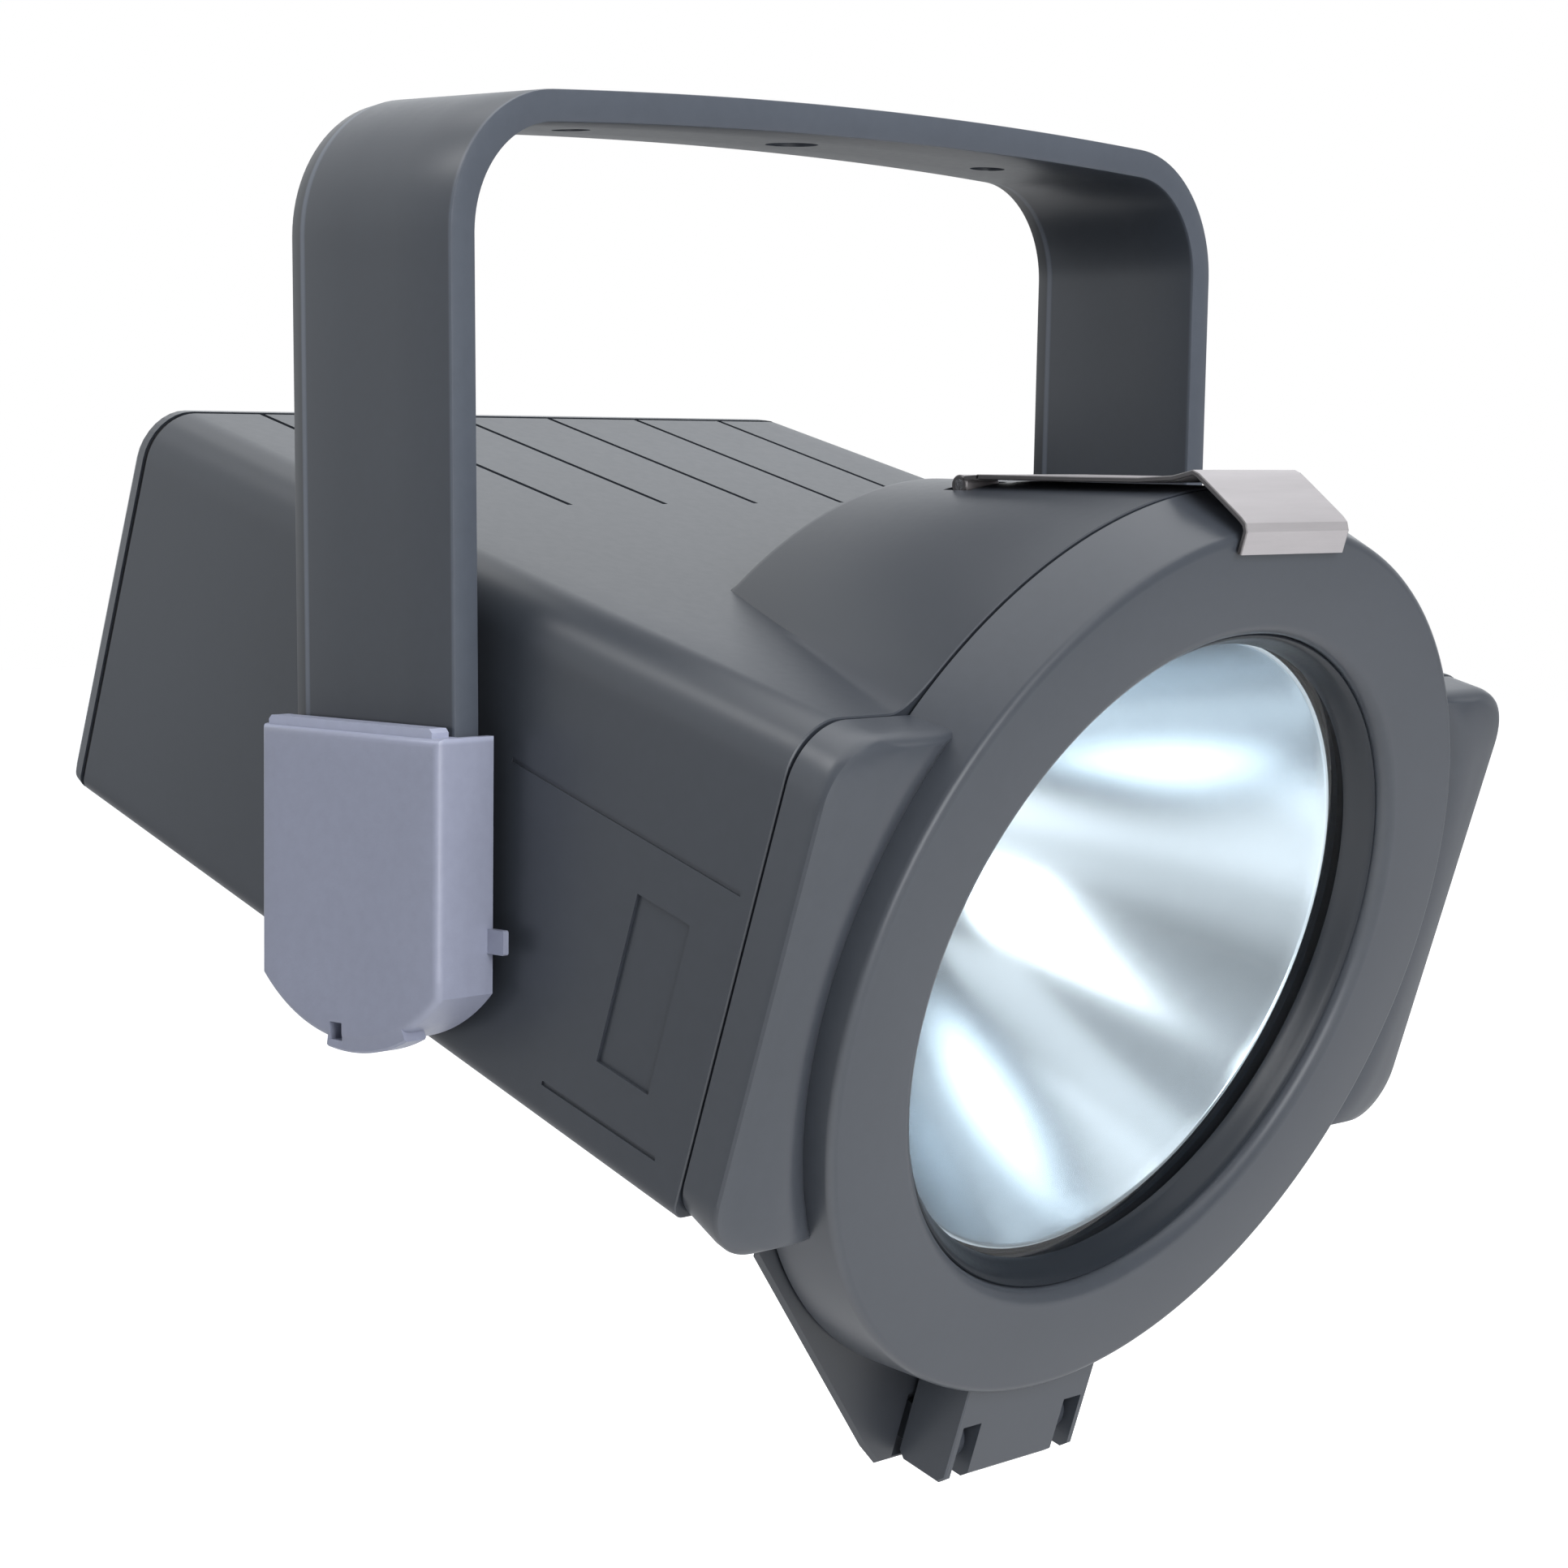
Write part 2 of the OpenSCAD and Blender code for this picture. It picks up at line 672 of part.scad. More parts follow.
// Space that the frame's tongue sweeps, cut around the lugs
module hinge_room(x, w) {
  translate([x, 0, 0]) across(hinge_f, hinge_u) cylinder(r = room_r, h = w, center = true);
}

// Space for an eye of the clip
module clip_pocket(x, w) {
  block(x - w / 2, x + w / 2, clip_f - 3.5, clip_f + 4, clip_u - eye_r - 0.5, clip_u + 12);
}

// Children around the optical axis, with +Z forward at radius r, first one at angle a
module screw_circle(n, r, a) {
  on_axis(0)
    for (i = [0 : n - 1])
      rotate([0, 0, a + i * 360 / n]) translate([r, 0, 0]) children();
}

module front_seal() {
  color([0.08, 0.08, 0.09]) head() on_axis(front_f - seal_depth)
    ring_disc(0, seal_r + seal_w, seal_r, seal_depth + 0.3);
}

module rear_gasket() {
  w = half_at(rear_f) - 0.8;
  t = top_at(rear_f) - 0.8;
  b = bottom_at(rear_f) + 0.8;
  color([0.06, 0.06, 0.07]) head() difference() {
    plate(gasket_f, seam_t) difference() {
      round_rect(w, t, b, 11, 5);
      round_rect(w - 14, t - 14, b + 14, 6, 4);
    }
    rear_points() translate([0, -gasket_f + 1, 0]) rotate([90, 0, 0]) cylinder(r = screw_r + 0.2, h = 6);
  }
}

module rear_cover() {
  color([0.32, 0.34, 0.37]) head() difference() {
    hull() {
      cover_slice(gasket_f - skin, 0);
      cover_slice(gasket_f - rear_depth * 0.45, 0.5);
      cover_slice(gasket_f - rear_depth * 0.78, 2);
      cover_slice(cover_rear_f, 4.5);
    }
    plate(plate_floor_f, 10)
      round_rect(half_at(rear_f) - 15, top_at(rear_f) - 15, bottom_at(rear_f) + 15, 5, 4);
    rear_points() translate([0, -cover_rear_f + 5, 0]) rotate([90, 0, 0]) cylinder(r = screw_r + 0.2, h = 30);
    rear_points() translate([0, -cover_rear_f + 5, 0]) rotate([90, 0, 0]) cylinder(r = 4.3, h = 8);
    translate([gland_x, -cover_rear_f + 5, gland_u]) rotate([90, 0, 0]) cylinder(r = gland_r + 0.1, h = 30);
  }
}

module cover_slice(f, inset) {
  corners(f, half_at(f) - inset, top_at(f) - inset, bottom_at(f) + inset,
    top_edge_r - inset / 2, bottom_edge_r - inset / 2);
}

module rear_screws() {
  head_f = cover_rear_f + 3;
  color([0.6, 0.6, 0.62]) head() rear_points() {
    translate([0, -head_f, 0]) rotate([90, 0, 0]) cylinder(r = screw_r - seat_fit, h = rear_f - head_f + 11);
    translate([0, -head_f + 2.2, 0]) rotate([90, 0, 0]) difference() {
      cylinder(r = 3.9, h = 2.2);
      translate([0, 0, -1]) cylinder(r = 1.6, h = 2.2, $fn = 6);
    }
  }
}

module hinge_pin() {
  color([0.7, 0.7, 0.72]) head() across(hinge_f, hinge_u)
    cylinder(d = hinge_pin_d, h = 2 * tongue_half - 3, center = true);
}

module clip_pin() {
  color([0.7, 0.7, 0.72]) head() across(clip_f, clip_u)
    cylinder(d = clip_pin_d, h = 2 * clip_half, center = true);
}

module reflector() {
  steps = 20;
  inner = [for (i = [0 : steps]) let (r = neck_r + (refl_r - neck_r) * i / steps) [r, refl_at(r)]];
  rim_r = refl_r + 0.9;
  outer = [for (i = [0 : steps]) let (r = rim_r - (rim_r - neck_r) * i / steps) [r, refl_at(r) - refl_skin]];
  lip = [
    [refl_r + 1.6, refl_f], [refl_r + 1.6, front_f + flange_t], [flange_r, front_f + flange_t],
    [flange_r, front_f], [refl_r + 0.95, front_f]
  ];
  color([0.8, 0.82, 0.85]) head() difference() {
    on_axis(0) rotate_extrude() polygon(concat(inner, lip, [for (p = outer) if (p[1] < front_f - 0.5) p]));
    screw_circle(3, refl_screw_r, 90) translate([0, 0, front_f - 5]) cylinder(r = small_r + 0.1, h = 12);
  }
}

module reflector_screws() {
  color([0.6, 0.6, 0.62]) head() screw_circle(3, refl_screw_r, 90) {
    translate([0, 0, front_f - wall - 1.5]) cylinder(r = small_r - seat_fit, h = wall + 1.5 + flange_t);
    translate([0, 0, front_f + flange_t]) cylinder(r = 2.7, h = 1.2);
  }
}

module lamp_bulb() {
  steps = 8;
  dome = [for (i = [0 : steps]) let (a = i * 90 / steps)
    [bulb_r * cos(a), bulb_tip_f - bulb_r * 0.9 * (1 - sin(a))]];
  color([0.95, 0.95, 0.97, 0.6]) head() on_axis(0) rotate_extrude()
    polygon(concat([[0, 16], [bulb_r, 16]], dome));
}

module lamp_cap() {
  color([0.9, 0.88, 0.82]) head() on_axis(2) {
    cylinder(r = cap_r, h = 14);
    for (s = [-1, 1])
      translate([s * 3, 0, -6]) cylinder(r = 1, h = 7);
  }
}

module lamp_holder() {
  color([0.88, 0.86, 0.8]) head() difference() {
    on_axis(-18) {
      cylinder(r = holder_r, h = 20);
      translate([-ear_half, -8, 0]) cube([2 * ear_half, 16, 5]);
    }
    for (s = [-1, 1]) {
      translate([s * 3, 7, axis_u]) rotate([90, 0, 0]) cylinder(r = 1 + run_fit, h = 20);
      translate([s * ear_screw_x, 30, axis_u]) rotate([90, 0, 0]) cylinder(r = small_r + 0.1, h = 30);
    }
  }
}

module holder_screws() {
  color([0.6, 0.6, 0.62]) head() for (s = [-1, 1])
    translate([s * ear_screw_x, 13, axis_u]) rotate([90, 0, 0]) {
      cylinder(r = 2.7, h = 1.5);
      translate([0, 0, -9]) cylinder(r = small_r - seat_fit, h = 9.5);
    }
}

module holder_bracket() {
  color([0.7, 0.71, 0.73]) head() difference() {
    union() {
      block(-bracket_half, bracket_half, -20.5, -18, tray_u, 32);
      block(-bracket_half, bracket_half, -44, -18, tray_u, tray_u + 2.5);
    }
    on_axis(-30) cylinder(r = 8, h = 20);
    for (s = [-1, 1])
      translate([s * ear_screw_x, 30, axis_u]) rotate([90, 0, 0]) cylinder(r = small_r, h = 30);
  }
}

module gear_tray() {
  color([0.68, 0.69, 0.71]) head() difference() {
    block(-tray_half, tray_half, tray_rear_f, tray_front_f, tray_u - tray_t, tray_u);
    tray_bores(screw_r + 0.1);
  }
}

module tray_screws() {
  color([0.6, 0.6, 0.62]) head() tray_points() {
    translate([0, 0, tray_u]) cylinder(r = 3.6, h = 2.4);
    translate([0, 0, tray_u - 4.5]) cylinder(r = screw_r - seat_fit, h = 5);
  }
}

module ballast() {
  step = ballast_l / 6;
  top = tray_u + ballast_h;
  color([0.25, 0.25, 0.27]) head() difference() {
    block(ballast_x0, ballast_x1, ballast_f - ballast_l, ballast_f, tray_u, top);
    for (i = [1 : 5])
      block(ballast_x0 - 1, ballast_x1 + 1, ballast_f - step * i - 0.6, ballast_f - step * i + 0.6,
        top - 1, top + 1);
  }
}

module can(x, f, r, h) {
  translate([x, -f, tray_u]) {
    cylinder(r = r, h = h - 3);
    translate([0, 0, h - 3]) cylinder(r1 = r, r2 = r - 2, h = 3);
  }
}

module ignitor() {
  color([0.75, 0.75, 0.77]) head() can(ignitor_x, ignitor_f, ignitor_r, ignitor_h);
}

module capacitor() {
  color([0.78, 0.78, 0.8]) head() can(capacitor_x, capacitor_f, capacitor_r, capacitor_h);
}

module terminal_block() {
  x0 = terminal_x - terminal_w;
  top = tray_u + terminal_h;
  color([0.9, 0.9, 0.88]) head() difference() {
    block(x0, terminal_x, terminal_f - terminal_l / 2, terminal_f + terminal_l / 2, tray_u, top);
    for (i = [-2 : 2])
      for (k = [0.25, 0.75])
        translate([x0 + k * terminal_w, i * terminal_l / 6 - terminal_f, top - 4]) cylinder(r = 2.2, h = 10);
  }
}

module earth_stud() {
  color([0.75, 0.66, 0.35]) head() translate([0, 85, tray_u]) {
    cylinder(r = 2.5, h = 12);
    cylinder(r = 5.5, h = 1.2);
    translate([0, 0, 1.2]) cylinder(r = 4.6, h = 4, $fn = 6);
  }
}

// Straight lead between two points given as side, station and height
module lead(a, b) {
  d = [b[0] - a[0], a[1] - b[1], b[2] - a[2]];
  l = norm(d);
  translate([a[0], -a[1], a[2]]) rotate([0, acos(d[2] / l), atan2(d[1], d[0])]) cylinder(d = lead_d, h = l);
}

module bent_lead(a, b, c) {
  lead(a, b);
  translate([b[0], -b[1], b[2]]) sphere(d = lead_d);
  lead(b, c);
}

// Side of the ignitor can at d in front of or behind its middle
function can_side(d) = ignitor_x - sqrt(pow(ignitor_r, 2) - pow(d - lead_d / 2, 2)) - 0.3;

module internal_leads() {
  mid_f = (ignitor_f - ignitor_r + capacitor_f + capacitor_r) / 2;
  bend_f = ignitor_f + 7;
  low_u = tray_u + 10;
  color([0.75, 0.74, 0.7]) head() {
    lead([ballast_x1, mid_f, low_u], [terminal_x - terminal_w, mid_f, low_u]);
    lead([ballast_x1, ignitor_f - 5, 0], [can_side(5), ignitor_f - 5, 0]);
    bent_lead([4, -18, axis_u], [4, bend_f, axis_u], [can_side(7), bend_f, axis_u]);
    bent_lead([-4, -18, axis_u], [-4, bend_f, axis_u], [ballast_x1, bend_f, axis_u]);
  }
}

// Child +Z runs forward along the gland's axis from station f
module on_gland(f) {
  translate([gland_x, -f, gland_u]) rotate([90, 0, 0]) children();
}

module gland_body() {
  color([0.12, 0.12, 0.13]) head() difference() {
    union() {
      on_gland(cover_rear_f - 5) cylinder(r = gland_r, h = plate_floor_f - cover_rear_f + 11);
      on_gland(cover_rear_f - 6) cylinder(r = gland_r + 3, h = 6, $fn = 6);
      on_gland(cover_rear_f - 12) cylinder(r = gland_r - 1, h = 7);
    }
    on_gland(cover_rear_f - 13) cylinder(r = gland_r - 3.5, h = 30);
  }
}

module gland_nut() {
  color([0.12, 0.12, 0.13]) head() on_gland(plate_floor_f) difference() {
    cylinder(r = gland_r + 3.5, h = 4.5, $fn = 6);
    translate([0, 0, -1]) cylinder(r = gland_r + seat_fit, h = 8);
  }
}

module gland_cap() {
  color([0.12, 0.12, 0.13]) head() on_gland(cover_rear_f - 16) difference() {
    union() {
      translate([0, 0, 3]) cylinder(r = gland_r + 2, h = 7);
      cylinder(r1 = gland_r - 2, r2 = gland_r + 2, h = 3);
    }
    translate([0, 0, 4]) cylinder(r = gland_r - 1 + seat_fit, h = 8);
    translate([0, 0, -1]) cylinder(r = gland_r - 3.5, h = 8);
  }
}

module gland_seal() {
  color([0.05, 0.05, 0.05]) head() on_gland(cover_rear_f - 11)
    ring_disc(0, gland_r - 3.5 - seat_fit, gland_r - 6, 8);
}

// Wings on both sides of the ring: their front faces rise towards it, up to a narrow groove
module frame_wings() {
  difference() {
    hull() {
      corners(frame_f, front_half, front_top - 0.1, front_bottom + 0.1, wing_r, wing_r - 4);
      corners(wing_f - wing_drop, wing_half, front_top + 0.4, front_bottom - 4.6, wing_r + 1, wing_r + 1);
      corners(wing_f - wing_drop + 1, wing_half - 0.6, front_top - 0.1, front_bottom - 4.4, wing_r, wing_r);
      corners(wing_f - 0.5, ring_r + 2.5, front_top - 1.6, front_bottom - 2.6, wing_r, wing_r);
      corners(wing_f - skin, ring_r - 1, front_top - 2.6, front_bottom - 1.6, wing_r, wing_r);
    }
    on_axis(0) cylinder(r = ring_r - 10, h = big);
    on_axis(0) rotate_extrude() polygon([
      [ring_r - 14, wing_f - groove_deep], [ring_r - 2, wing_f - groove_deep],
      [ring_r - 1.7, wing_f - 1.6], [ring_r - 1.3, wing_f - 0.6], [ring_r - 0.7, wing_f + 0.1],
      [ring_r - 0.7, big / 2], [ring_r - 14, big / 2]
    ]);
  }
}

module front_frame() {
  back_r = ring_r - part_gap * (ring_r - face_r) / (face_f - front_f);
  t0 = hinge_f - tongue_t / 2;
  t1 = hinge_f + tongue_t / 2;
  slot = lug_w + 2 * lug_gap;
  color([0.38, 0.4, 0.43]) head() difference() {
    union() {
      frame_wings();
      on_axis(0) rotate_extrude() polygon([
        [recess_r, frame_f], [back_r, frame_f],
        [face_r + 0.2, face_f - face_edge], [face_r - face_edge, face_f],
        [open_r + 3.3, face_f], [open_r + 1.9, face_f - 0.3], [open_r + 0.75, face_f - 1.05],
        [open_r, face_f - 2.2], [frame_lip_r, lip_f], [rebate_r, lip_f],
        [rebate_r, recess_f], [recess_r, recess_f]
      ]);
      block(-tongue_half, tongue_half, t0, t1, hinge_u - tongue_drop, axis_u - face_r + 6);
    }
    on_axis(0) cylinder(r = recess_r, h = recess_f);
    for (s = [-1, 1])
      block(s * lug_x - slot / 2, s * lug_x + slot / 2, t0 - 1, t1 + 1, hinge_u - 20, hinge_u + lug_r + 2);
    across(hinge_f, hinge_u) cylinder(r = hinge_pin_d / 2 + run_fit, h = 80, center = true);
    screw_circle(clip_plate_count, plate_screw_r, 30)
      translate([0, 0, recess_f - 1]) cylinder(r = small_r, h = 8);
  }
}

module lens_glass() {
  color([0.8, 0.86, 0.88, 0.3]) head() on_axis(glass_f) cylinder(r = glass_r, h = glass_t);
}

module lens_gasket() {
  g0 = glass_f;
  g1 = glass_f + glass_t;
  color([0.05, 0.05, 0.06]) head() on_axis(0) rotate_extrude() polygon([
    [rebate_r - 0.2, recess_f], [rebate_r - 0.2, lip_f], [frame_lip_r, lip_f],
    [gasket_r + 1.8, lip_f - 0.7], [gasket_r, g1 + 0.6], [gasket_r, g1],
    [glass_r + 0.1, g1], [glass_r + 0.1, g0], [gasket_r + 2, g0], [gasket_r + 2, recess_f]
  ]);
}

module glass_clips() {
  color([0.72, 0.73, 0.75]) head() screw_circle(clip_plate_count, 0, 30)
    translate([0, 0, recess_f - clip_plate_t]) difference() {
      translate([plate_in_r, -6, 0]) cube([recess_r - 1.5 - plate_in_r, 12, clip_plate_t]);
      translate([plate_screw_r, 0, -1]) cylinder(r = small_r + 0.1, h = 5);
    }
}

module glass_clip_screws() {
  color([0.6, 0.6, 0.62]) head() screw_circle(clip_plate_count, plate_screw_r, 30) {
    translate([0, 0, recess_f - clip_plate_t - 1]) cylinder(r = 2.6, h = 1);
    translate([0, 0, recess_f - clip_plate_t - 0.5]) cylinder(r = small_r - seat_fit, h = 8);
  }
}

module clip_sheet() {
  top_f = clip_f + 0.6;
  polygon([
    [top_f, clip_u + eye_r - 1], [clip_base_f, clip_base_u], [clip_fold_f, clip_fold_u],
    [clip_front_f, clip_nose_u], [clip_front_f, clip_lip_u], [clip_front_f + clip_t, clip_lip_u],
    [clip_front_f + clip_t, clip_nose_u + clip_t], [clip_fold_f + 0.6, clip_fold_u + clip_t + 0.1],
    [clip_fold_f - 0.8, clip_fold_u + clip_t + 0.1], [clip_base_f, clip_base_u + clip_t],
    [top_f, clip_u + eye_r]
  ]);
}

module latch_clip() {
  color([0.76, 0.75, 0.77]) head() difference() {
    union() {
      profile(2 * clip_half) clip_sheet();
      for (s = [-1, 1])
        translate([s * (clip_lug_half + 0.5 + clip_half) / 2, 0, 0]) across(clip_f, clip_u)
          cylinder(r = eye_r, h = clip_half - clip_lug_half - 0.5, center = true);
    }
    block(-clip_lug_half - 0.5, clip_lug_half + 0.5, clip_f - 5, clip_f + 4.5, clip_u - 10, clip_u + 10);
    across(clip_f, clip_u) cylinder(r = clip_pin_d / 2 + run_fit, h = 80, center = true);
  }
}

yoke();
pivot_cover_left();
pivot_cover_right();
pivot_bolts();
spring_washers();
friction_washers();
pivot_nuts();
housing();
front_seal();
rear_gasket();
rear_cover();
rear_screws();
hinge_pin();
clip_pin();
reflector();
reflector_screws();
lamp_bulb();
lamp_cap();
lamp_holder();
holder_screws();
holder_bracket();
gear_tray();
tray_screws();
ballast();
ignitor();
capacitor();
terminal_block();
earth_stud();
internal_leads();
gland_body();
gland_nut();
gland_cap();
gland_seal();
front_frame();
lens_glass();
lens_gasket();
glass_clips();
glass_clip_screws();
latch_clip();
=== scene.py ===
import math

import bmesh
import bpy
import numpy as np
from mathutils import Matrix


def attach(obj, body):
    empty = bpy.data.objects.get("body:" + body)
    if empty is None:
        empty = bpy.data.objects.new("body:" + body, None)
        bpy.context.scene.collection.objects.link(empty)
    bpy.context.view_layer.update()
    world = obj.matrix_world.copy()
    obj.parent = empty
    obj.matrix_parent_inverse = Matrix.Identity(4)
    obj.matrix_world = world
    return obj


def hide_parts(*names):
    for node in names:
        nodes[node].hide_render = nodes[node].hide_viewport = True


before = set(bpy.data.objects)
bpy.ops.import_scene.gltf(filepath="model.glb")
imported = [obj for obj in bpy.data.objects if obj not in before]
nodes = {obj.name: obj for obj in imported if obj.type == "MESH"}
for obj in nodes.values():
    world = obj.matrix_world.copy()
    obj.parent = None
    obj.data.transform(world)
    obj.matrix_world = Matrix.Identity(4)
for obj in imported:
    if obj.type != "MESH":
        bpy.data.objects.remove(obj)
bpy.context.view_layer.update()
scene = bpy.context.scene
print("stage: frame loaded")

# Lengths below are millimetres in the head's own axes (side, forward, up) from the tilt axis.
unit = 0.001
pivotZ = -171.7
tilt = math.radians(17.79)
tiltCos, tiltSin = math.cos(tilt), math.sin(tilt)
axisU = 10.7
weldGap, sliverGap = 2e-6, 1e-6


def fromHead(x, f, u):
    # the head's axes turned forward about the tilt axis by the tilt, in metres
    x, f, u = np.broadcast_arrays(np.asarray(x, float), f, u)
    return np.stack([x, -f * tiltCos - u * tiltSin, -f * tiltSin + u * tiltCos + pivotZ], -1) * unit


def fromYoke(x, y, z):
    # the yoke's axes: heights are measured from the tilt axis
    x, y, z = np.broadcast_arrays(np.asarray(x, float), y, z)
    return np.stack([x, y, z + pivotZ], -1) * unit


def gridFaces(rows, cols, wrapRows=False, wrapCols=False):
    # one quad between each point, the next in its row, and the two beside them in the next row
    r = np.arange(rows if wrapRows else rows - 1)[:, None]
    c = np.arange(cols if wrapCols else cols - 1)[None, :]
    r2 = (r + 1) % rows
    c2 = (c + 1) % cols
    quads = np.stack(np.broadcast_arrays(r * cols + c, r * cols + c2, r2 * cols + c2, r2 * cols + c), -1)
    return quads.reshape(-1, 4)


def surface(points, wrapRows=False, wrapCols=False, capFirst=False, capLast=False):
    # a grid of points as quads; a capped row is closed by one face
    rows, cols = points.shape[:2]
    faces = gridFaces(rows, cols, wrapRows, wrapCols).tolist()
    if capFirst:
        faces.append(list(range(cols)))
    if capLast:
        faces.append(list(range((rows - 1) * cols, rows * cols)))
    return points.reshape(-1, 3), faces


def tube(points):
    # rows of closed loops, with a face over the first and the last
    return surface(points, wrapCols=True, capFirst=True, capLast=True)


def meshOf(name, parts):
    # parts of (points, faces) in one mesh, with double points merged and faces turned outward
    verts, faces, start = [], [], 0
    for points, quads in parts:
        verts.append(points)
        faces += [[i + start for i in q] for q in quads]
        start += len(points)
    mesh = bpy.data.meshes.new(name)
    mesh.from_pydata(np.concatenate(verts).tolist(), [], faces)
    work = bmesh.new()
    work.from_mesh(mesh)
    bmesh.ops.remove_doubles(work, verts=work.verts, dist=weldGap)
    bmesh.ops.dissolve_degenerate(work, dist=sliverGap, edges=work.edges)
    bmesh.ops.recalc_face_normals(work, faces=work.faces)
    work.to_mesh(mesh)
    work.free()
    return mesh


def placed(name, data):
    # an object at the origin, in the scene
    thing = bpy.data.objects.new(name, data)
    scene.collection.objects.link(thing)
    return thing


def solid(name, parts):
    # an object made of such parts
    return placed(name, meshOf(name, parts))


def settle(thing, body, material, stands=(), sharp=32):
    # smooth shading with the real edges kept crisp
    mesh = thing.data
    mesh.shade_smooth()
    mesh.set_sharp_from_angle(angle=math.radians(sharp))
    mesh.materials.clear()
    mesh.materials.append(material)
    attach(thing, body)
    if stands:
        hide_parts(*stands)


def carve(thing, cutters, tangled=False):
    # every cutter is taken away from the piece, then removed; a tangled piece is made of overlapping solids
    for cutter in cutters:
        tool = solid("cutter", [cutter])
        step = thing.modifiers.new("carve", "BOOLEAN")
        step.operation = "DIFFERENCE"
        step.solver = "EXACT"
        step.object = tool
        step.use_self = tangled
        graph = bpy.context.evaluated_depsgraph_get()
        done = bpy.data.meshes.new_from_object(thing.evaluated_get(graph))
        thing.modifiers.clear()
        thing.data = done
        bpy.data.objects.remove(tool)


def headBlock(x0, x1, f0, f1, u0, u1):
    # a block between two places on each of the head's axes
    x = np.array([[x0, x1, x1, x0]] * 2, float)
    u = np.array([[u0, u0, u1, u1]] * 2, float)
    return tube(fromHead(x, np.array([[f0], [f1]], float), u))


def revolve(profile, turns=200):
    # profile of (radius, forward) pairs turned about the optical axis
    r, f = np.array(profile, float).T
    a = np.arange(turns) * 2 * math.pi / turns
    x = r[:, None] * np.cos(a)
    return surface(fromHead(x, f[:, None], axisU + r[:, None] * np.sin(a)), wrapRows=True, wrapCols=True)


def acrossRod(f, u, radius, x0, x1, edge, turns=40):
    # a rod along the side axis with small edge chamfers
    a = np.arange(turns) * 2 * math.pi / turns
    r = np.array([radius - edge, radius, radius, radius - edge])[:, None]
    x = np.array([x0, x0 + edge, x1 - edge, x1])[:, None]
    return tube(fromHead(x, f + r * np.cos(a), u + r * np.sin(a)))


def acrossBar(outline, x0, x1, edge=0.5):
    # an outline of (forward, up) pairs drawn sideways, its end edges chamfered towards the middle
    f, u = np.array(outline, float).T
    fMid, uMid = f.mean(), u.mean()
    d = np.hypot(f - fMid, u - uMid)
    k = np.array([1, 0, 0, 1])[:, None] * edge / d
    x = np.array([x0, x0 + edge, x1 - edge, x1])[:, None]
    return tube(fromHead(x, f + (fMid - f) * k, u + (uMid - u) * k))


def tone(r, g, b):
    # a screen colour, each part from 0 to 255, as linear light
    c = np.array([r, g, b]) / 255
    return np.where(c <= 0.04045, c / 12.92, ((c + 0.055) / 1.055) ** 2.4)


def mathNode(tree, operation, *values):
    # one sum of outputs or plain numbers
    node = tree.nodes.new("ShaderNodeMath")
    node.operation = operation
    for entry, value in zip(node.inputs, values):
        if isinstance(value, bpy.types.NodeSocket):
            tree.links.new(value, entry)
        else:
            entry.default_value = value
    return node.outputs["Value"]


def rangeNode(tree, value, fromMin, fromMax, toMin, toMax):
    # a value carried in a straight line from one span to another, held at its ends
    node = tree.nodes.new("ShaderNodeMapRange")
    for key, level in (("From Min", fromMin), ("From Max", fromMax), ("To Min", toMin), ("To Max", toMax)):
        node.inputs[key].default_value = level
    tree.links.new(value, node.inputs["Value"])
    return node.outputs["Result"]


bandTop = 4.0
noiseSpan = (0.3, 0.7)
speckRatio = 22
reliefHeight = 0.0006


def bandShade(tree, place, axis, bands):
    # straight lines between shades at places along one axis; the ramp ends at one, so it holds a share of them
    first, last = bands[0][0], bands[-1][0]
    axes = tree.nodes.new("ShaderNodeSeparateXYZ")
    tree.links.new(place, axes.inputs["Vector"])
    strip = tree.nodes.new("ShaderNodeValToRGB")
    stops = strip.color_ramp.elements
    for spot, level in bands[1:-1]:
        stops.new((spot - first) / (last - first)).color = (*[level / bandTop] * 3, 1.0)
    for end in (0, -1):
        stops[end].color = (*[bands[end][1] / bandTop] * 3, 1.0)
    along = rangeNode(tree, axes.outputs[axis], first * unit, last * unit, 0.0, 1.0)
    tree.links.new(along, strip.inputs["Fac"])
    return mathNode(tree, "MULTIPLY", strip.outputs["Color"], bandTop)


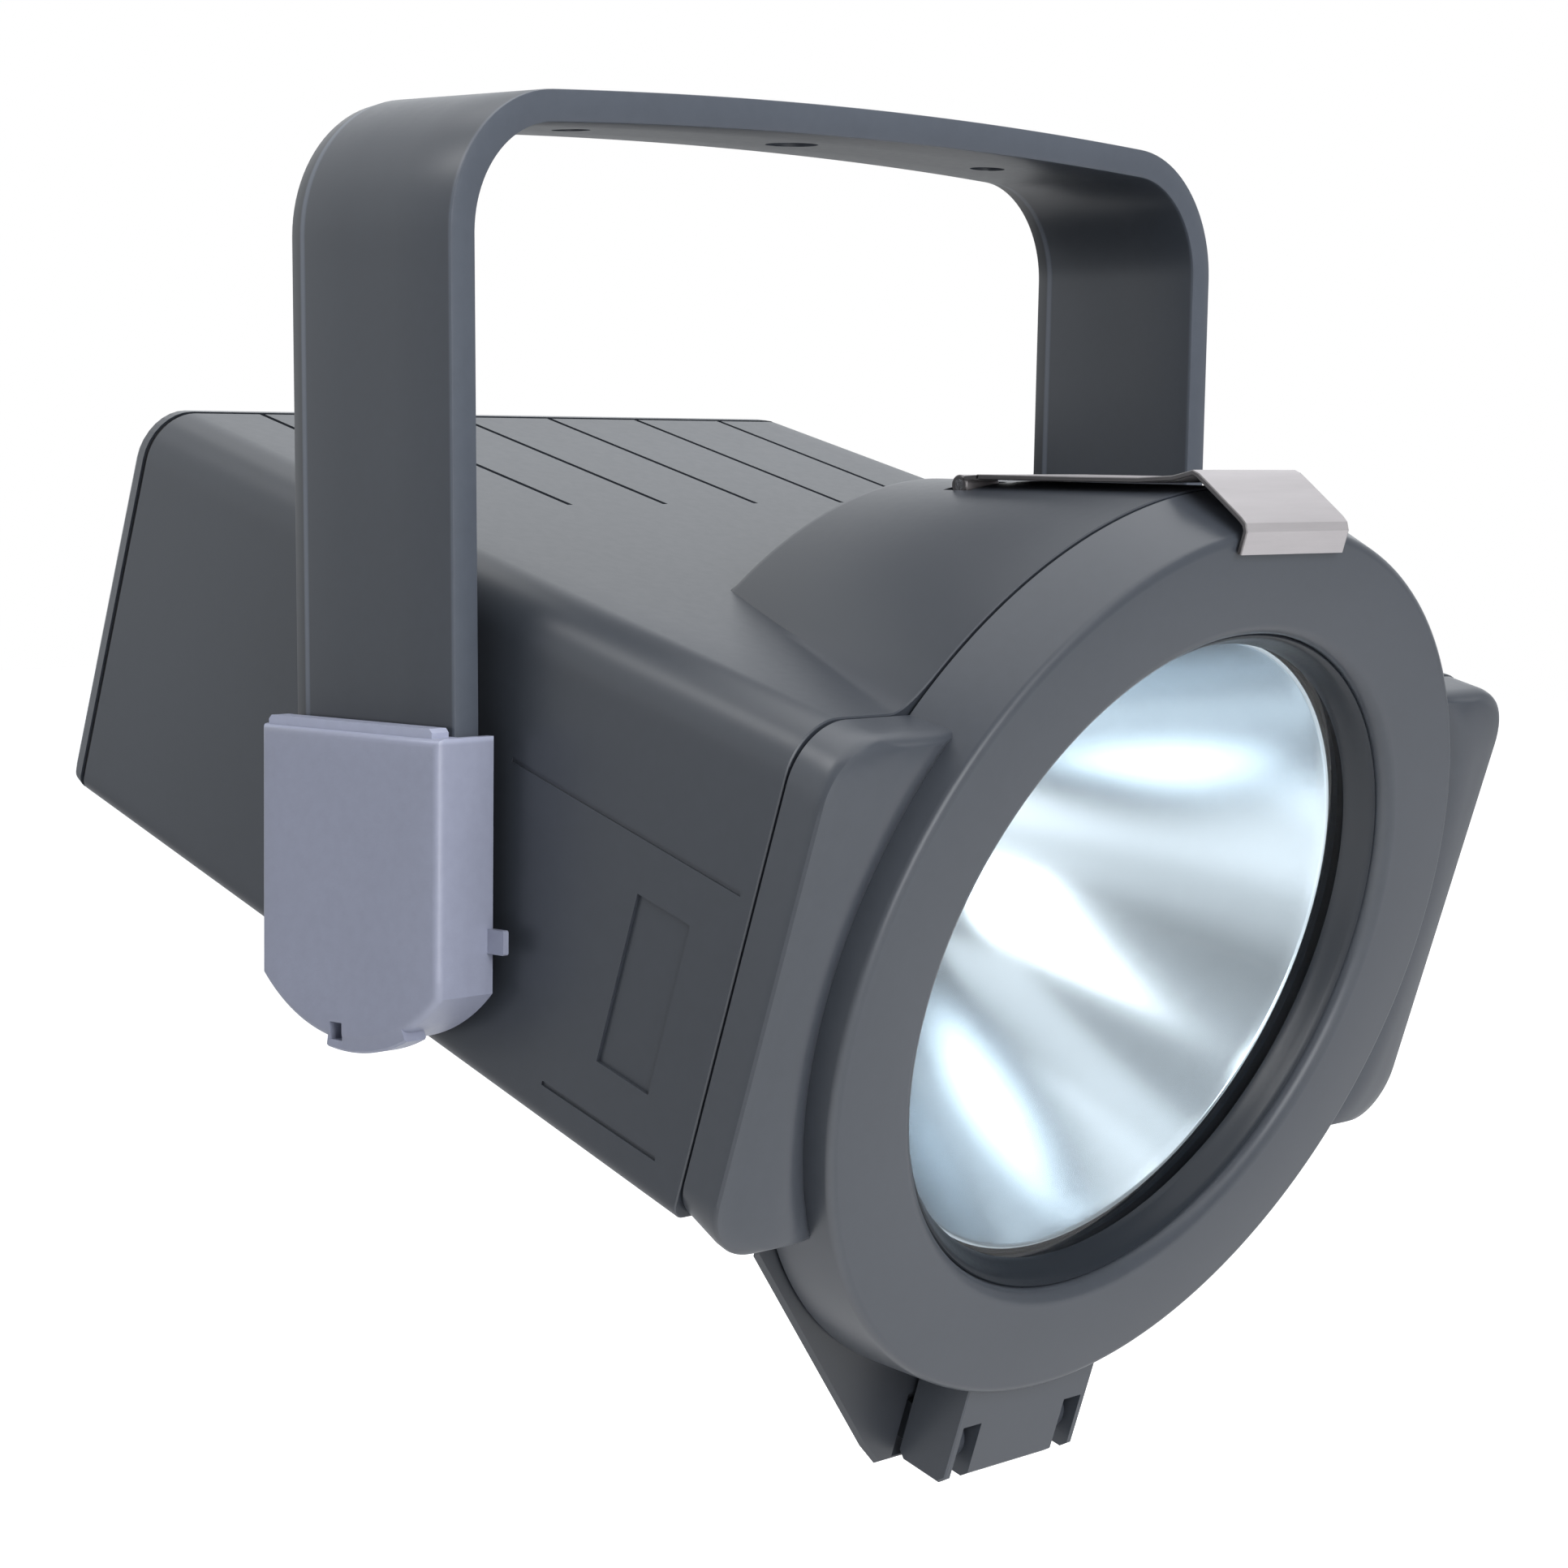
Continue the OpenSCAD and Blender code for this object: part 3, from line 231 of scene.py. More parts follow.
def finish(name, colour, rough, metal=0.0, patch=18.0, patchAmount=0.08, grain=1400.0, grainDepth=0.05,
           stretch=(1.0, 1.0, 1.0), spread=0.06, speck=0.03, shine=0.5, bandAxis="Y", bands=()):
    # broad noise shades the colour, finer noise moves the roughness, fine grain gives the relief;
    # bands of (place in mm, level) paint highlights and shade along edges across one axis
    mat = bpy.data.materials.new(name)
    mat.use_nodes = True
    tree = mat.node_tree
    add, link = tree.nodes.new, tree.links.new
    skin = tree.nodes["Principled BSDF"]
    place = add("ShaderNodeTexCoord").outputs["Object"]
    scaled = add("ShaderNodeMapping")
    scaled.inputs["Scale"].default_value = stretch
    link(place, scaled.inputs["Vector"])
    noises = {}
    for key, size, detail in (("broad", patch, 4.0), ("speck", patch * speckRatio, 3.0), ("grain", grain, 2.0)):
        noise = add("ShaderNodeTexNoise")
        noise.inputs["Scale"].default_value = size
        noise.inputs["Detail"].default_value = detail
        link(scaled.outputs["Vector"], noise.inputs["Vector"])
        noises[key] = noise.outputs["Fac"]
    shades = [rangeNode(tree, noises[key], *noiseSpan, 1 - amount, 1 + amount)
              for key, amount in (("broad", patchAmount), ("speck", speck))]
    shade = mathNode(tree, "MULTIPLY", *shades)
    if bands:
        shade = mathNode(tree, "MULTIPLY", bandShade(tree, place, bandAxis, bands), shade)
    tint = add("ShaderNodeVectorMath")
    tint.operation = "SCALE"
    tint.inputs[0].default_value = tuple(colour)
    link(shade, tint.inputs["Scale"])
    link(tint.outputs["Vector"], skin.inputs["Base Color"])
    gloss = rangeNode(tree, noises["speck"], *noiseSpan, max(rough - spread, 0.02), min(rough + spread, 1.0))
    link(gloss, skin.inputs["Roughness"])
    relief = add("ShaderNodeBump")
    relief.inputs["Strength"].default_value = grainDepth
    relief.inputs["Distance"].default_value = reliefHeight
    link(noises["grain"], relief.inputs["Height"])
    link(relief.outputs["Normal"], skin.inputs["Normal"])
    skin.inputs["Metallic"].default_value = metal
    skin.inputs["Specular IOR Level"].default_value = shine
    return mat


castPaint = {"patchAmount": 0.04, "grain": 1500}
bodyPaint = finish("bodyPaint", tone(52, 56, 63), 0.36, grainDepth=0.004, spread=0.012, **castPaint)
# the body's paint made darker, as painted shade on the hinge bracket under the head
bracketShadedPaint = finish("bracketShadedPaint", tone(43, 46, 52), 0.40, grainDepth=0.004, spread=0.012, **castPaint)
framePaint = finish("framePaint", tone(58, 62, 69), 0.34, grainDepth=0.003, spread=0.010, **castPaint)
# painted highlights along the strap's front edge and along the ridge of the bevel by its rear edge, with painted
# shade on the bevel strip behind that ridge
strapPaintedLight = [(-26.5, 1.9), (-26.3, 1.9), (-26.1, 2.2), (-25.4, 1.0), (20.9, 1.0), (21.5, 2.7), (22.5, 2.7),
              (23.1, 0.6), (26.5, 0.6)]
yokePaint = finish("yokePaint", tone(52, 56, 63), 0.36, patchAmount=0.05, grain=900, grainDepth=0.004,
                   spread=0.015, bands=strapPaintedLight)
# a painted highlight along the rim at the covers' upper end
coverRimHighlight = [(-214.5, 1.0), (-144.5, 1.0), (-143.8, 1.35), (-141.0, 1.4)]
coverPlastic = finish("coverPlastic", tone(134, 138, 156), 0.40, patchAmount=0.03, grain=1200, bandAxis="Z",
                      bands=coverRimHighlight)
steel = finish("steel", tone(178, 178, 182), 0.30, metal=1.0, patch=60, grain=3000, grainDepth=0.04)
# painted shade along the clip's two side edges
clipEdgeShade = [(-19.5, 0.2), (-19.25, 0.2), (-19.1, 1.0), (19.1, 1.0), (19.25, 0.2), (19.5, 0.2)]
springSteel = finish("springSteel", tone(182, 178, 180), 0.42, metal=0.6, patch=40, patchAmount=0.04,
                     stretch=(1.0, 12.0, 12.0), grain=700, grainDepth=0.03, bandAxis="X", bands=clipEdgeShade)
fibre = finish("fibre", tone(58, 52, 46), 0.85, patch=90, patchAmount=0.15, grain=2500, grainDepth=0.3)
rubber = finish("rubber", tone(26, 27, 30), 0.62, patch=50, patchAmount=0.10, grain=2200, grainDepth=0.12)
gasketRubber = finish("gasketRubber", tone(25, 30, 37), 0.34, patch=40, patchAmount=0.05, grain=900,
                      grainDepth=0.0, speck=0.01, spread=0.03, shine=0.36)
mirror = finish("mirror", tone(208, 217, 224), 0.21, metal=1.0, patch=12, patchAmount=0.02, grain=400,
                grainDepth=0.0, speck=0.003, spread=0.004)
ceramic = finish("ceramic", tone(226, 220, 206), 0.45, patch=80, patchAmount=0.05, grain=1600, grainDepth=0.08)
sheetMetal = finish("sheetMetal", tone(176, 180, 184), 0.36, metal=1.0, patch=70, patchAmount=0.12, grain=1200)
coreIron = finish("coreIron", tone(66, 62, 60), 0.55, metal=0.6, patch=60, patchAmount=0.15,
                  stretch=(1.0, 1.0, 14.0), grain=900, grainDepth=0.25)
canMetal = finish("canMetal", tone(188, 190, 194), 0.30, metal=1.0, patch=40, grain=1800, grainDepth=0.04)
whitePlastic = finish("whitePlastic", tone(222, 220, 212), 0.42, patch=60, patchAmount=0.04)
brass = finish("brass", tone(196, 160, 84), 0.32, metal=1.0, patch=90, patchAmount=0.12)
leadSleeve = finish("leadSleeve", tone(206, 196, 178), 0.62, patch=200, patchAmount=0.10, grain=2600,
                    grainDepth=0.3)
blackPlastic = finish("blackPlastic", tone(34, 35, 37), 0.48, patch=50, grainDepth=0.10)


def clearGlass(name, tint, gloss, smearScale=24.0, bending=1.4):
    # see-through with a reflection that grows towards grazing angles, and faint smears in its roughness
    mat = bpy.data.materials.new(name)
    mat.use_nodes = True
    tree = mat.node_tree
    tree.nodes.remove(tree.nodes["Principled BSDF"])
    add, link = tree.nodes.new, tree.links.new
    through = add("ShaderNodeBsdfTransparent")
    through.inputs["Color"].default_value = (*tint, 1.0)
    shine = add("ShaderNodeBsdfGlossy")
    shine.inputs["Color"].default_value = (1.0, 1.0, 1.0, 1.0)
    smear = add("ShaderNodeTexNoise")
    smear.inputs["Scale"].default_value = smearScale
    link(add("ShaderNodeTexCoord").outputs["Object"], smear.inputs["Vector"])
    link(rangeNode(tree, smear.outputs["Fac"], 0.0, 1.0, 0.0, gloss), shine.inputs["Roughness"])
    edge = add("ShaderNodeFresnel")
    edge.inputs["IOR"].default_value = bending
    outside = mathNode(tree, "SUBTRACT", 1.0, add("ShaderNodeNewGeometry").outputs["Backfacing"])
    mix = add("ShaderNodeMixShader")
    link(mathNode(tree, "MULTIPLY", edge.outputs["Fac"], outside), mix.inputs["Fac"])
    link(through.outputs["BSDF"], mix.inputs[1])
    link(shine.outputs["BSDF"], mix.inputs[2])
    link(mix.outputs["Shader"], tree.nodes["Material Output"].inputs["Surface"])
    return mat


lensGlass = clearGlass("lensGlass", (0.965, 0.98, 0.985), 0.06)
lampGlass = clearGlass("lampGlass", (0.93, 0.94, 0.94), 0.10)

nodeFinish = {
    "pivot_bolts": steel, "spring_washers": steel, "friction_washers": fibre, "pivot_nuts": steel,
    "front_seal": rubber, "rear_gasket": rubber, "rear_cover": bodyPaint, "rear_screws": steel,
    "hinge_pin": steel, "clip_pin": steel, "reflector_screws": steel, "lamp_bulb": lampGlass,
    "lamp_cap": ceramic, "lamp_holder": ceramic, "holder_screws": steel, "holder_bracket": sheetMetal,
    "gear_tray": sheetMetal, "tray_screws": steel, "ballast": coreIron, "ignitor": canMetal,
    "capacitor": canMetal, "terminal_block": whitePlastic, "earth_stud": brass, "internal_leads": leadSleeve,
    "gland_body": blackPlastic, "gland_nut": blackPlastic, "gland_cap": blackPlastic, "gland_seal": rubber,
    "lens_glass": lensGlass, "glass_clips": sheetMetal, "glass_clip_screws": steel,
    "yoke": yokePaint, "pivot_cover_left": coverPlastic, "pivot_cover_right": coverPlastic,
    "housing": bodyPaint, "reflector": mirror, "front_frame": framePaint, "lens_gasket": gasketRubber,
    "latch_clip": springSteel,
}
for name, thing in nodes.items():
    thing.data.materials.clear()
    thing.data.materials.append(nodeFinish[name])
print("stage: finishes set")

# Yoke: a flat section swept along two upright arms, two bends and a slightly arched bar.
# Rear edges carry a shallow bevel; the arm ends are round about the tilt axis.
yokeSize = {"half": 134.7, "lean": 1.7, "leanFrom": 31.0, "bend": 32.0, "arch": 1950.0, "thick": 7.2,
            "halfWide": 26.5, "endRadius": 27.0, "tipShare": 0.01, "bevelWide": 5.0, "bevelDeep": 0.7,
            "edge": 0.5, "edgeShare": 0.3, "flatHalf": 8.0}
yokeHoles = {"midRadius": 6.5, "midLow": -20.0, "outerRadius": 4.5, "outerLow": -22.0, "outerX": 75.0,
             "above": 12.0, "pivotRadius": 5.05, "pivotReach": 200.0}


def yokePiece(s):
    # stations along half the strap, arm then bend then arch, each with its inward normal; the half is
    # mirrored, and the section is set along the normals and across the strap
    bendX = s["half"] + s["lean"] - s["bend"]
    bendZ = math.sqrt((s["arch"] - s["bend"]) ** 2 - bendX ** 2) - s["arch"]
    roundZ = -s["endRadius"] * np.cos(np.linspace(0, math.pi / 2, 14))
    lowZ = np.concatenate([roundZ, np.linspace(0, s["leanFrom"], 8)[1:]])
    riseZ = np.linspace(s["leanFrom"], bendZ - pivotZ, 30)[1:]
    riseX = s["half"] + s["lean"] * (riseZ - s["leanFrom"]) / (bendZ - pivotZ - s["leanFrom"])
    split = math.acos(bendX / (s["arch"] - s["bend"]))
    turn = np.linspace(0, split, 24)[1:]
    sweep = np.linspace(split, math.pi / 2, 40)[1:]
    inBend = np.arange(len(turn) + len(sweep)) < len(turn)
    centreX = np.where(inBend, bendX, 0.0)
    centreZ = np.where(inBend, bendZ, -s["arch"])
    radius = np.where(inBend, s["bend"], s["arch"])
    angle = np.concatenate([turn, sweep])
    armX = np.concatenate([np.full(len(lowZ), s["half"]), riseX])
    armZ = np.concatenate([lowZ, riseZ]) + pivotZ
    x = np.concatenate([armX, centreX + radius * np.cos(angle)])
    z = np.concatenate([armZ, centreZ + radius * np.sin(angle)])
    nx = np.concatenate([np.full(len(armX), -1.0), -np.cos(angle)])
    nz = np.concatenate([np.zeros(len(armX)), -np.sin(angle)])
    wide = np.ones(len(x))
    below = z < pivotZ
    drop = np.clip(s["endRadius"] ** 2 - (z[below] - pivotZ) ** 2, 0, None)
    wide[below] = np.clip(np.sqrt(drop) / s["halfWide"], s["tipShare"], 1)
    # the middle station is shared by both halves
    x, nx = [np.concatenate([v, -v[-2::-1]]) for v in (x, nx)]
    z, nz, wide = [np.concatenate([v, v[-2::-1]]) for v in (z, nz, wide)]
    w, t, e, flat = s["halfWide"], s["thick"], s["edge"], s["flatHalf"]
    bw, bd = s["bevelWide"], s["bevelDeep"]
    q = e * s["edgeShare"]
    section = np.array([
        (0, -w + e), (q, -w + q), (e, -w), (t - e, -w), (t - q, -w + q), (t, -w + e), (t, -flat), (t, flat),
        (t, w - bw), (t - bd, w - e), (t - bd - q, w - q), (t - bd - e, w), (bd + e, w), (bd + q, w - q),
        (bd, w - e), (0, w - bw), (0, flat), (0, -flat)], float)
    depth = section[:, 0][None, :]
    across = section[:, 1][None, :] * wide[:, None]
    px = x[:, None] + nx[:, None] * depth
    pz = z[:, None] + nz[:, None] * depth
    return tube(np.stack([px, across, pz], -1) * unit)


def uprightRod(x, z0, z1, radius, turns=48):
    # a circle about an upright line, drawn between two heights above the mount
    a = np.arange(turns) * 2 * math.pi / turns
    loops = np.broadcast_arrays(x + radius * np.cos(a)[None, :], radius * np.sin(a)[None, :], np.array([[z0], [z1]]))
    return tube(np.stack(loops, -1) * unit)


def sideRod(x0, x1, radius, turns=48):
    # a circle about the tilt axis, drawn sideways
    a = np.arange(turns) * 2 * math.pi / turns
    return tube(fromYoke(np.array([[x0], [x1]], float), radius * np.cos(a), radius * np.sin(a)))


h = yokeHoles
yokeStrap = solid("yokeStrap", [yokePiece(yokeSize)])
carve(yokeStrap, [uprightRod(0, h["midLow"], h["above"], h["midRadius"]),
                  sideRod(-h["pivotReach"], h["pivotReach"], h["pivotRadius"])]
      + [uprightRod(x, h["outerLow"], h["above"], h["outerRadius"]) for x in (-h["outerX"], h["outerX"])])
settle(yokeStrap, "yoke", yokePaint, ["yoke"], sharp=24)
print("stage: yoke")

# Pivot covers: an outline with straight sides and a round lower end, drawn outward.
# A skirt wraps the arm on three sides, and a plate with a rounded edge closes the outside.
coverSize = {"half": 29.5, "top": 28.5, "round": 40.6, "inner": 126.0, "arm": 134.75, "outer": 142.2,
             "wall": 2.0, "edge": 2.0, "faceInset": 6.0}
# blocks of (two places on each axis, edge) and a lip of (sideways, forward and radius spans), on the right side
coverExtras = {"rim": (136.0, 140.9, -26.0, 28.0, 27.5, 30.5, 0.9),
               "lip": (135.7, 142.0, -19.0, 7.0, 38.0, 42.6),
               "tab": (126.0, 127.6, -34.5, -28.5, -19.0, -13.6, 0.3),
               "slot": (137.2, 144.0, 1.8, 5.8, -40.3, -36.3, 0.1)}


def coverLine(s, d):
    # from the top rear corner down, around the lower end and up to the top front corner, drawn in by d
    half = s["half"] - d
    radius = s["round"] - d
    low = -math.sqrt(radius ** 2 - half ** 2)
    end = math.asin(half / radius)
    a = np.linspace(end, -end, 40)
    rise = np.linspace(s["top"], low, 14)[:-1]
    y = np.concatenate([np.full(len(rise), half), radius * np.sin(a), np.full(len(rise), -half)])
    z = np.concatenate([rise, -radius * np.cos(a), rise[::-1]])
    return y, z


def coverPieces(side, s):
    # the skirt lies between two outlines a wall apart; the plate's outlines draw in along a quarter circle
    y0, z0 = coverLine(s, 0)
    y1, z1 = coverLine(s, s["wall"])
    skirtX = np.array([s["inner"], s["inner"], s["arm"], s["arm"]])[:, None]
    skirt = fromYoke(side * skirtX, np.stack([y0, y1, y1, y0]), np.stack([z0, z1, z1, z0]))
    a = np.linspace(0, math.pi / 2, 6)
    inset = np.concatenate([[0.0], s["edge"] * (1 - np.cos(a)), [s["faceInset"]]])
    out = np.concatenate([[s["arm"]], s["outer"] - s["edge"] * (1 - np.sin(a)), [s["outer"]]])
    lines = [coverLine(s, d) for d in inset]
    ys = np.stack([y for y, z in lines])
    zs = np.stack([np.minimum(z, s["top"] - d) for d, (y, z) in zip(inset, lines)])
    return [tube(skirt.transpose(1, 0, 2)), tube(fromYoke(side * out[:, None], ys, zs))]


def yokeBlock(side, x0, x1, y0, y1, z0, z1, edge):
    # a block with its four sideways edges chamfered, given for the right side
    y = np.array([y0 + edge, y1 - edge, y1, y1, y1 - edge, y0 + edge, y0, y0])
    z = np.array([z0, z0, z0 + edge, z1 - edge, z1, z1, z1 - edge, z0 + edge])
    return tube(fromYoke(np.array(sorted((side * x0, side * x1)))[:, None], y, z))


def coverLip(side, x0, x1, y0, y1, r0, r1, edge=0.5):
    # a section with two chamfers, turned about the tilt axis along the round lower end
    a = np.linspace(math.asin(y0 / r1), math.asin(y1 / r1), 24)[:, None]
    r = np.array([r0, r1 - edge, r1, r1, r1 - edge, r0])
    x = np.array([x0, x0, x0 + edge, x1 - edge, x1, x1]) * side
    return tube(fromYoke(x, r * np.sin(a), -r * np.cos(a)))


for side, name in ((-1, "Left"), (1, "Right")):
    extras = [yokeBlock(side, *coverExtras["rim"]), coverLip(side, *coverExtras["lip"]),
              yokeBlock(side, *coverExtras["tab"])]
    cover = solid("pivotCover" + name, coverPieces(side, coverSize) + extras)
    carve(cover, [yokeBlock(side, *coverExtras["slot"])], tangled=True)
    settle(cover, "yoke", coverPlastic, ["pivot_cover_" + name.lower()], sharp=40)
print("stage: pivot covers")

# Housing: a tapered box with rounded long edges. A cone about the optical axis rises out of its top behind the
# ring, with a soft concave blend into the top plane, and a steeper cone out of its floor.
housingSize = {"rear": -126.5, "front": 100.9, "half": 124.9, "top": 71.3, "bottom": -41.5, "sideTaper": 2.5,
               "topTaper": 2.3, "floorTaper": 1.4, "topEdge": 12.0, "topEdgeCut": 8.0, "bottomEdge": 3.6,
               "bottomEdgeCut": 3.0, "roofHalf": 99.0, "floorHalf": 104.0, "coneStart": 19.0, "coneSmall": 84.0,
               "coneLarge": 110.0, "lowStart": 38.0, "blendRear": 0.05, "blendFront": 9.0, "blendFrom": 26.0,
               "blendOver": 55.0, "lowBlend": 5.0, "opening": 82.0, "wall": 3.0, "upperSkin": 6.0,
               "lowerSkin": 5.0, "rearEdge": 0.5, "frontEdge": 0.3}


def taperAt(f, angle, s=housingSize):
    # distance back from the front, times the slope
    return (s["front"] - f) * math.tan(math.radians(angle))


def halfAt(f, s=housingSize):
    # half width at the front, less the taper
    return s["half"] - taperAt(f, s["sideTaper"])


def topAt(f, s=housingSize):
    # top height at the front, less the taper
    return s["top"] - taperAt(f, s["topTaper"])


def bottomAt(f, s=housingSize):
    # floor height at the front, raised by the taper
    return s["bottom"] + taperAt(f, s["floorTaper"])


def upperAt(f, s=housingSize):
    # the upper cone's radius grows evenly from its start to the front
    slope = (s["coneLarge"] - s["coneSmall"]) / (s["front"] - s["coneStart"])
    return s["coneSmall"] + (f - s["coneStart"]) * slope if f >= s["coneStart"] else 0


def lowerAt(f, s=housingSize):
    # the lower cone's radius grows by as much as the place moves forward
    return s["coneLarge"] - (s["front"] - f) if f >= s["lowStart"] else 0


def softMax(a, b, k):
    # the larger of two heights, rounded where they differ by less than k
    h = np.clip(k - np.abs(a - b), 0, None) / k
    return np.maximum(a, b) + h * h * k / 4


def softMin(a, b, k):
    # the smaller of two heights, rounded in the same way
    return -softMax(-np.asarray(a, float), -b, k)


def coneHeight(radius, x):
    # height of a circle above its centre at a sideways distance
    return np.sqrt(np.clip(radius ** 2 - x ** 2, 0, None))


def corner(half, edge, level, start, end, count):
    # a quarter circle of (side, up) whose centre stands one radius in from the side and from the level
    a = np.linspace(start, end, count)
    centre = level - edge if start > 0 else level + edge
    return half - edge + edge * np.cos(a), centre + edge * np.sin(a)


def housingLoop(f, inset, upper, lower, s=housingSize):
    # one closed loop of (side, up): top, corner, side, corner, bottom, corner, side, corner
    half, top, bottom = halfAt(f) - inset, topAt(f) - inset, bottomAt(f) + inset
    rt = s["topEdge"] - min(inset, s["topEdgeCut"])
    rb = s["bottomEdge"] - min(inset, s["bottomEdgeCut"])
    # a column of points follows the crease between the cone and the top plane
    crease = math.sqrt(max(upper, s["coneSmall"]) ** 2 - (top - axisU) ** 2)
    side = np.linspace(crease, s["roofHalf"], 17)[1:]
    x = np.concatenate([-side[::-1], np.linspace(-crease, crease, 101), side])
    roof = np.full(len(x), top)
    if upper > 0:
        share = np.clip((f - s["coneStart"] - s["blendFrom"]) / s["blendOver"], 0, 1)
        blend = s["blendRear"] + (s["blendFront"] - s["blendRear"]) * share
        roof = softMax(roof, axisU + coneHeight(upper, x), blend)
    bx = np.linspace(s["floorHalf"], -s["floorHalf"], 105)
    floor = np.full(len(bx), bottom)
    if lower > 0:
        floor = -softMax(-floor, coneHeight(lower, bx) - axisU, s["lowBlend"])
    wallU = np.linspace(top - rt, bottom + rb, 44)[1:-1]
    wallX = np.full(len(wallU), half)
    cx, cu = corner(half, rt, top, math.pi / 2, 0, 12)
    dx, du = corner(half, rb, bottom, 0, -math.pi / 2, 8)
    xs = np.concatenate([x, cx, wallX, dx, bx, -dx[::-1], -wallX, -cx[::-1]])
    us = np.concatenate([roof, cu, wallU, du, floor, du[::-1], wallU[::-1], cu[::-1]])
    return xs, us


def housingPiece(s):
    # loops from rear to front, in to the round opening, then back again one wall inside
    start, front, edge = s["coneStart"], s["front"], s["frontEdge"]
    # rows of forward place, inset, upper cone and lower cone; the cone's start is a steep step
    rows = [(s["rear"], s["rearEdge"], 0, 0), (s["rear"] + s["rearEdge"], 0, 0, 0)]
    rows += [(f, 0, 0, 0) for f in np.arange(-122, start, 5.0)]
    rows += [(start, 0, 0, 0), (start, 0, upperAt(start) - 0.5, 0), (start + 0.15, 0, upperAt(start) - 0.12, 0)]
    rows += [(f, 0, upperAt(f), lowerAt(f)) for f in np.linspace(start + 0.5, front - edge, 62)]
    rows += [(front, edge, upperAt(front) - edge, lowerAt(front) - edge)]
    back, inside = front - s["wall"], start + s["wall"]
    inner = [(back, s["wall"], upperAt(back) - s["upperSkin"], lowerAt(back) - s["lowerSkin"])]
    inner += [(f, s["wall"], upperAt(f) - s["upperSkin"], max(lowerAt(f) - s["lowerSkin"], 0))
              for f in np.linspace(back - 4, inside, 16)]
    inner += [(inside, s["wall"], 0, 0), (s["rear"], s["wall"], 0, 0)]
    outerLoops, innerLoops = [[(row[0], *housingLoop(*row)) for row in part] for part in (rows, inner)]
    frontX, frontU = outerLoops[-1][1:]
    turn = np.arctan2(frontU - axisU, frontX)
    ringX, ringU = s["opening"] * np.cos(turn), axisU + s["opening"] * np.sin(turn)
    loops = outerLoops + [(front, ringX, ringU), (back, ringX, ringU)] + innerLoops
    return surface(np.stack([fromHead(x, f, u) for f, x, u in loops]), wrapRows=True, wrapCols=True)


def wallCut(side, f, u, length, high, deep):
    # a shallow cut that follows the taper of a side wall
    front, rear = halfAt(f), halfAt(f - length)
    x = np.array([front - deep, front + deep, rear + deep, rear - deep]) * side
    fs = np.array([f, f, f - length, f - length])
    us = np.array([[u - high / 2], [u + high / 2]])
    return tube(fromHead(x[None, :], fs[None, :], us))


def ventCut(x, f, wide=1.8, deep=1.6, rear=-134.0, above=6.0):
    # a groove from a place on the top out through the rear, as deep everywhere below the tapered top
    fs = np.array([f, rear, rear, f])
    us = np.array([topAt(f) - deep, topAt(rear) - deep, topAt(rear) + above, topAt(f) + above])
    xs = np.array([[x - wide / 2], [x + wide / 2]])
    return tube(fromHead(xs, fs[None, :], us[None, :]))


# side cuts are (forward, up, length, height, depth): two grooves and a recess; the clip's eyes sit in two pockets
clipU = 101.0
housingCuts = {"ventX": (-82.0, -49.2, -16.4, 16.4, 49.2, 82.0), "ventFront": -48.0,
               "side": [(97, 31.5, 75, 1.0, 0.35), (92, -31.4, 38, 1.0, 0.5), (85.5, 0, 17, 39, 0.8)],
               "pocketX": (7.0, 20.3), "pocketF": (38.5, 46.0), "pocketU": (clipU - 2.8, clipU + 12),
               "bridgeX": (-8.0, 8.0), "bridgeU": (clipU + 2.2, clipU + 12)}
housingShell = solid("housingShell", [housingPiece(housingSize)])
cuts = [ventCut(x, housingCuts["ventFront"]) for x in housingCuts["ventX"]]
for side in (-1, 1):
    cuts += [wallCut(side, *cut) for cut in housingCuts["side"]]
    pocket = sorted(side * x for x in housingCuts["pocketX"])
    cuts += [headBlock(*pocket, *housingCuts["pocketF"], *housingCuts["pocketU"])]
cuts += [headBlock(*housingCuts["bridgeX"], *housingCuts["pocketF"], *housingCuts["bridgeU"])]
carve(housingShell, cuts)
settle(housingShell, "head", bodyPaint, ["housing"], sharp=26)

# Hinge bracket under the housing: a thin plate with sloping sides, thicker behind the tongue, ribs behind two lugs.
bracketSize = {"rear": 96.5, "front": 100.9, "shoulderU": -44.3, "topX": 94.05, "topU": -55.5, "lowX": 37.5,
               "lowU": -114.6, "endX": 30.0, "endU": -121.0, "edge": 0.8, "sideIn": 5.0, "arcHalf": 75.0,
               "arcRadius": 101.0, "bore": 11.6, "boreHalf": 25.0}
# a block of two places on each axis, and a rib's outline of (forward, up)
bracketBack = {"block": (-24.4, 24.4, 91.4, 97.5, -119.8, -96.0),
               "rib": [(97.5, -119.0), (97.5, -93.0), (74.5, -71.5)]}
hingeF, hingeU = 109.0, -111.5
lugSize = {"x": 18.75, "half": 2.75, "radius": 5.0, "rear": 94.0}
bossSize = {"radius": 20.0, "inner": 110.0, "outer": 124.5, "edge": 0.6}


def bracketPiece(s):
    # its upper edge is an arc about the optical axis, so the bowl stays clear; its sides draw in to the rear
    arcX = np.linspace(-s["arcHalf"], s["arcHalf"], 31)
    arc = np.stack([arcX, axisU - np.sqrt(s["arcRadius"] ** 2 - arcX ** 2)], -1)
    right = np.array([(s["topX"], s["shoulderU"]), (s["topX"], s["topU"]), (s["lowX"], s["lowU"]),
                      (s["endX"], s["endU"])])
    x, u = np.concatenate([arc, right, right[::-1] * (-1, 1)]).T
    e = s["edge"]
    ofSide = np.arange(len(x)) >= len(arc)
    sideIn = np.array([s["sideIn"], 0, e])[:, None] * ofSide
    endIn = np.array([e, 0, e])[:, None] * (ofSide & (u < s["shoulderU"]))
    fs = np.array([s["rear"], s["front"] - e, s["front"]])[:, None]
    return tube(fromHead(x - np.sign(x) * sideIn, fs, u + endIn))


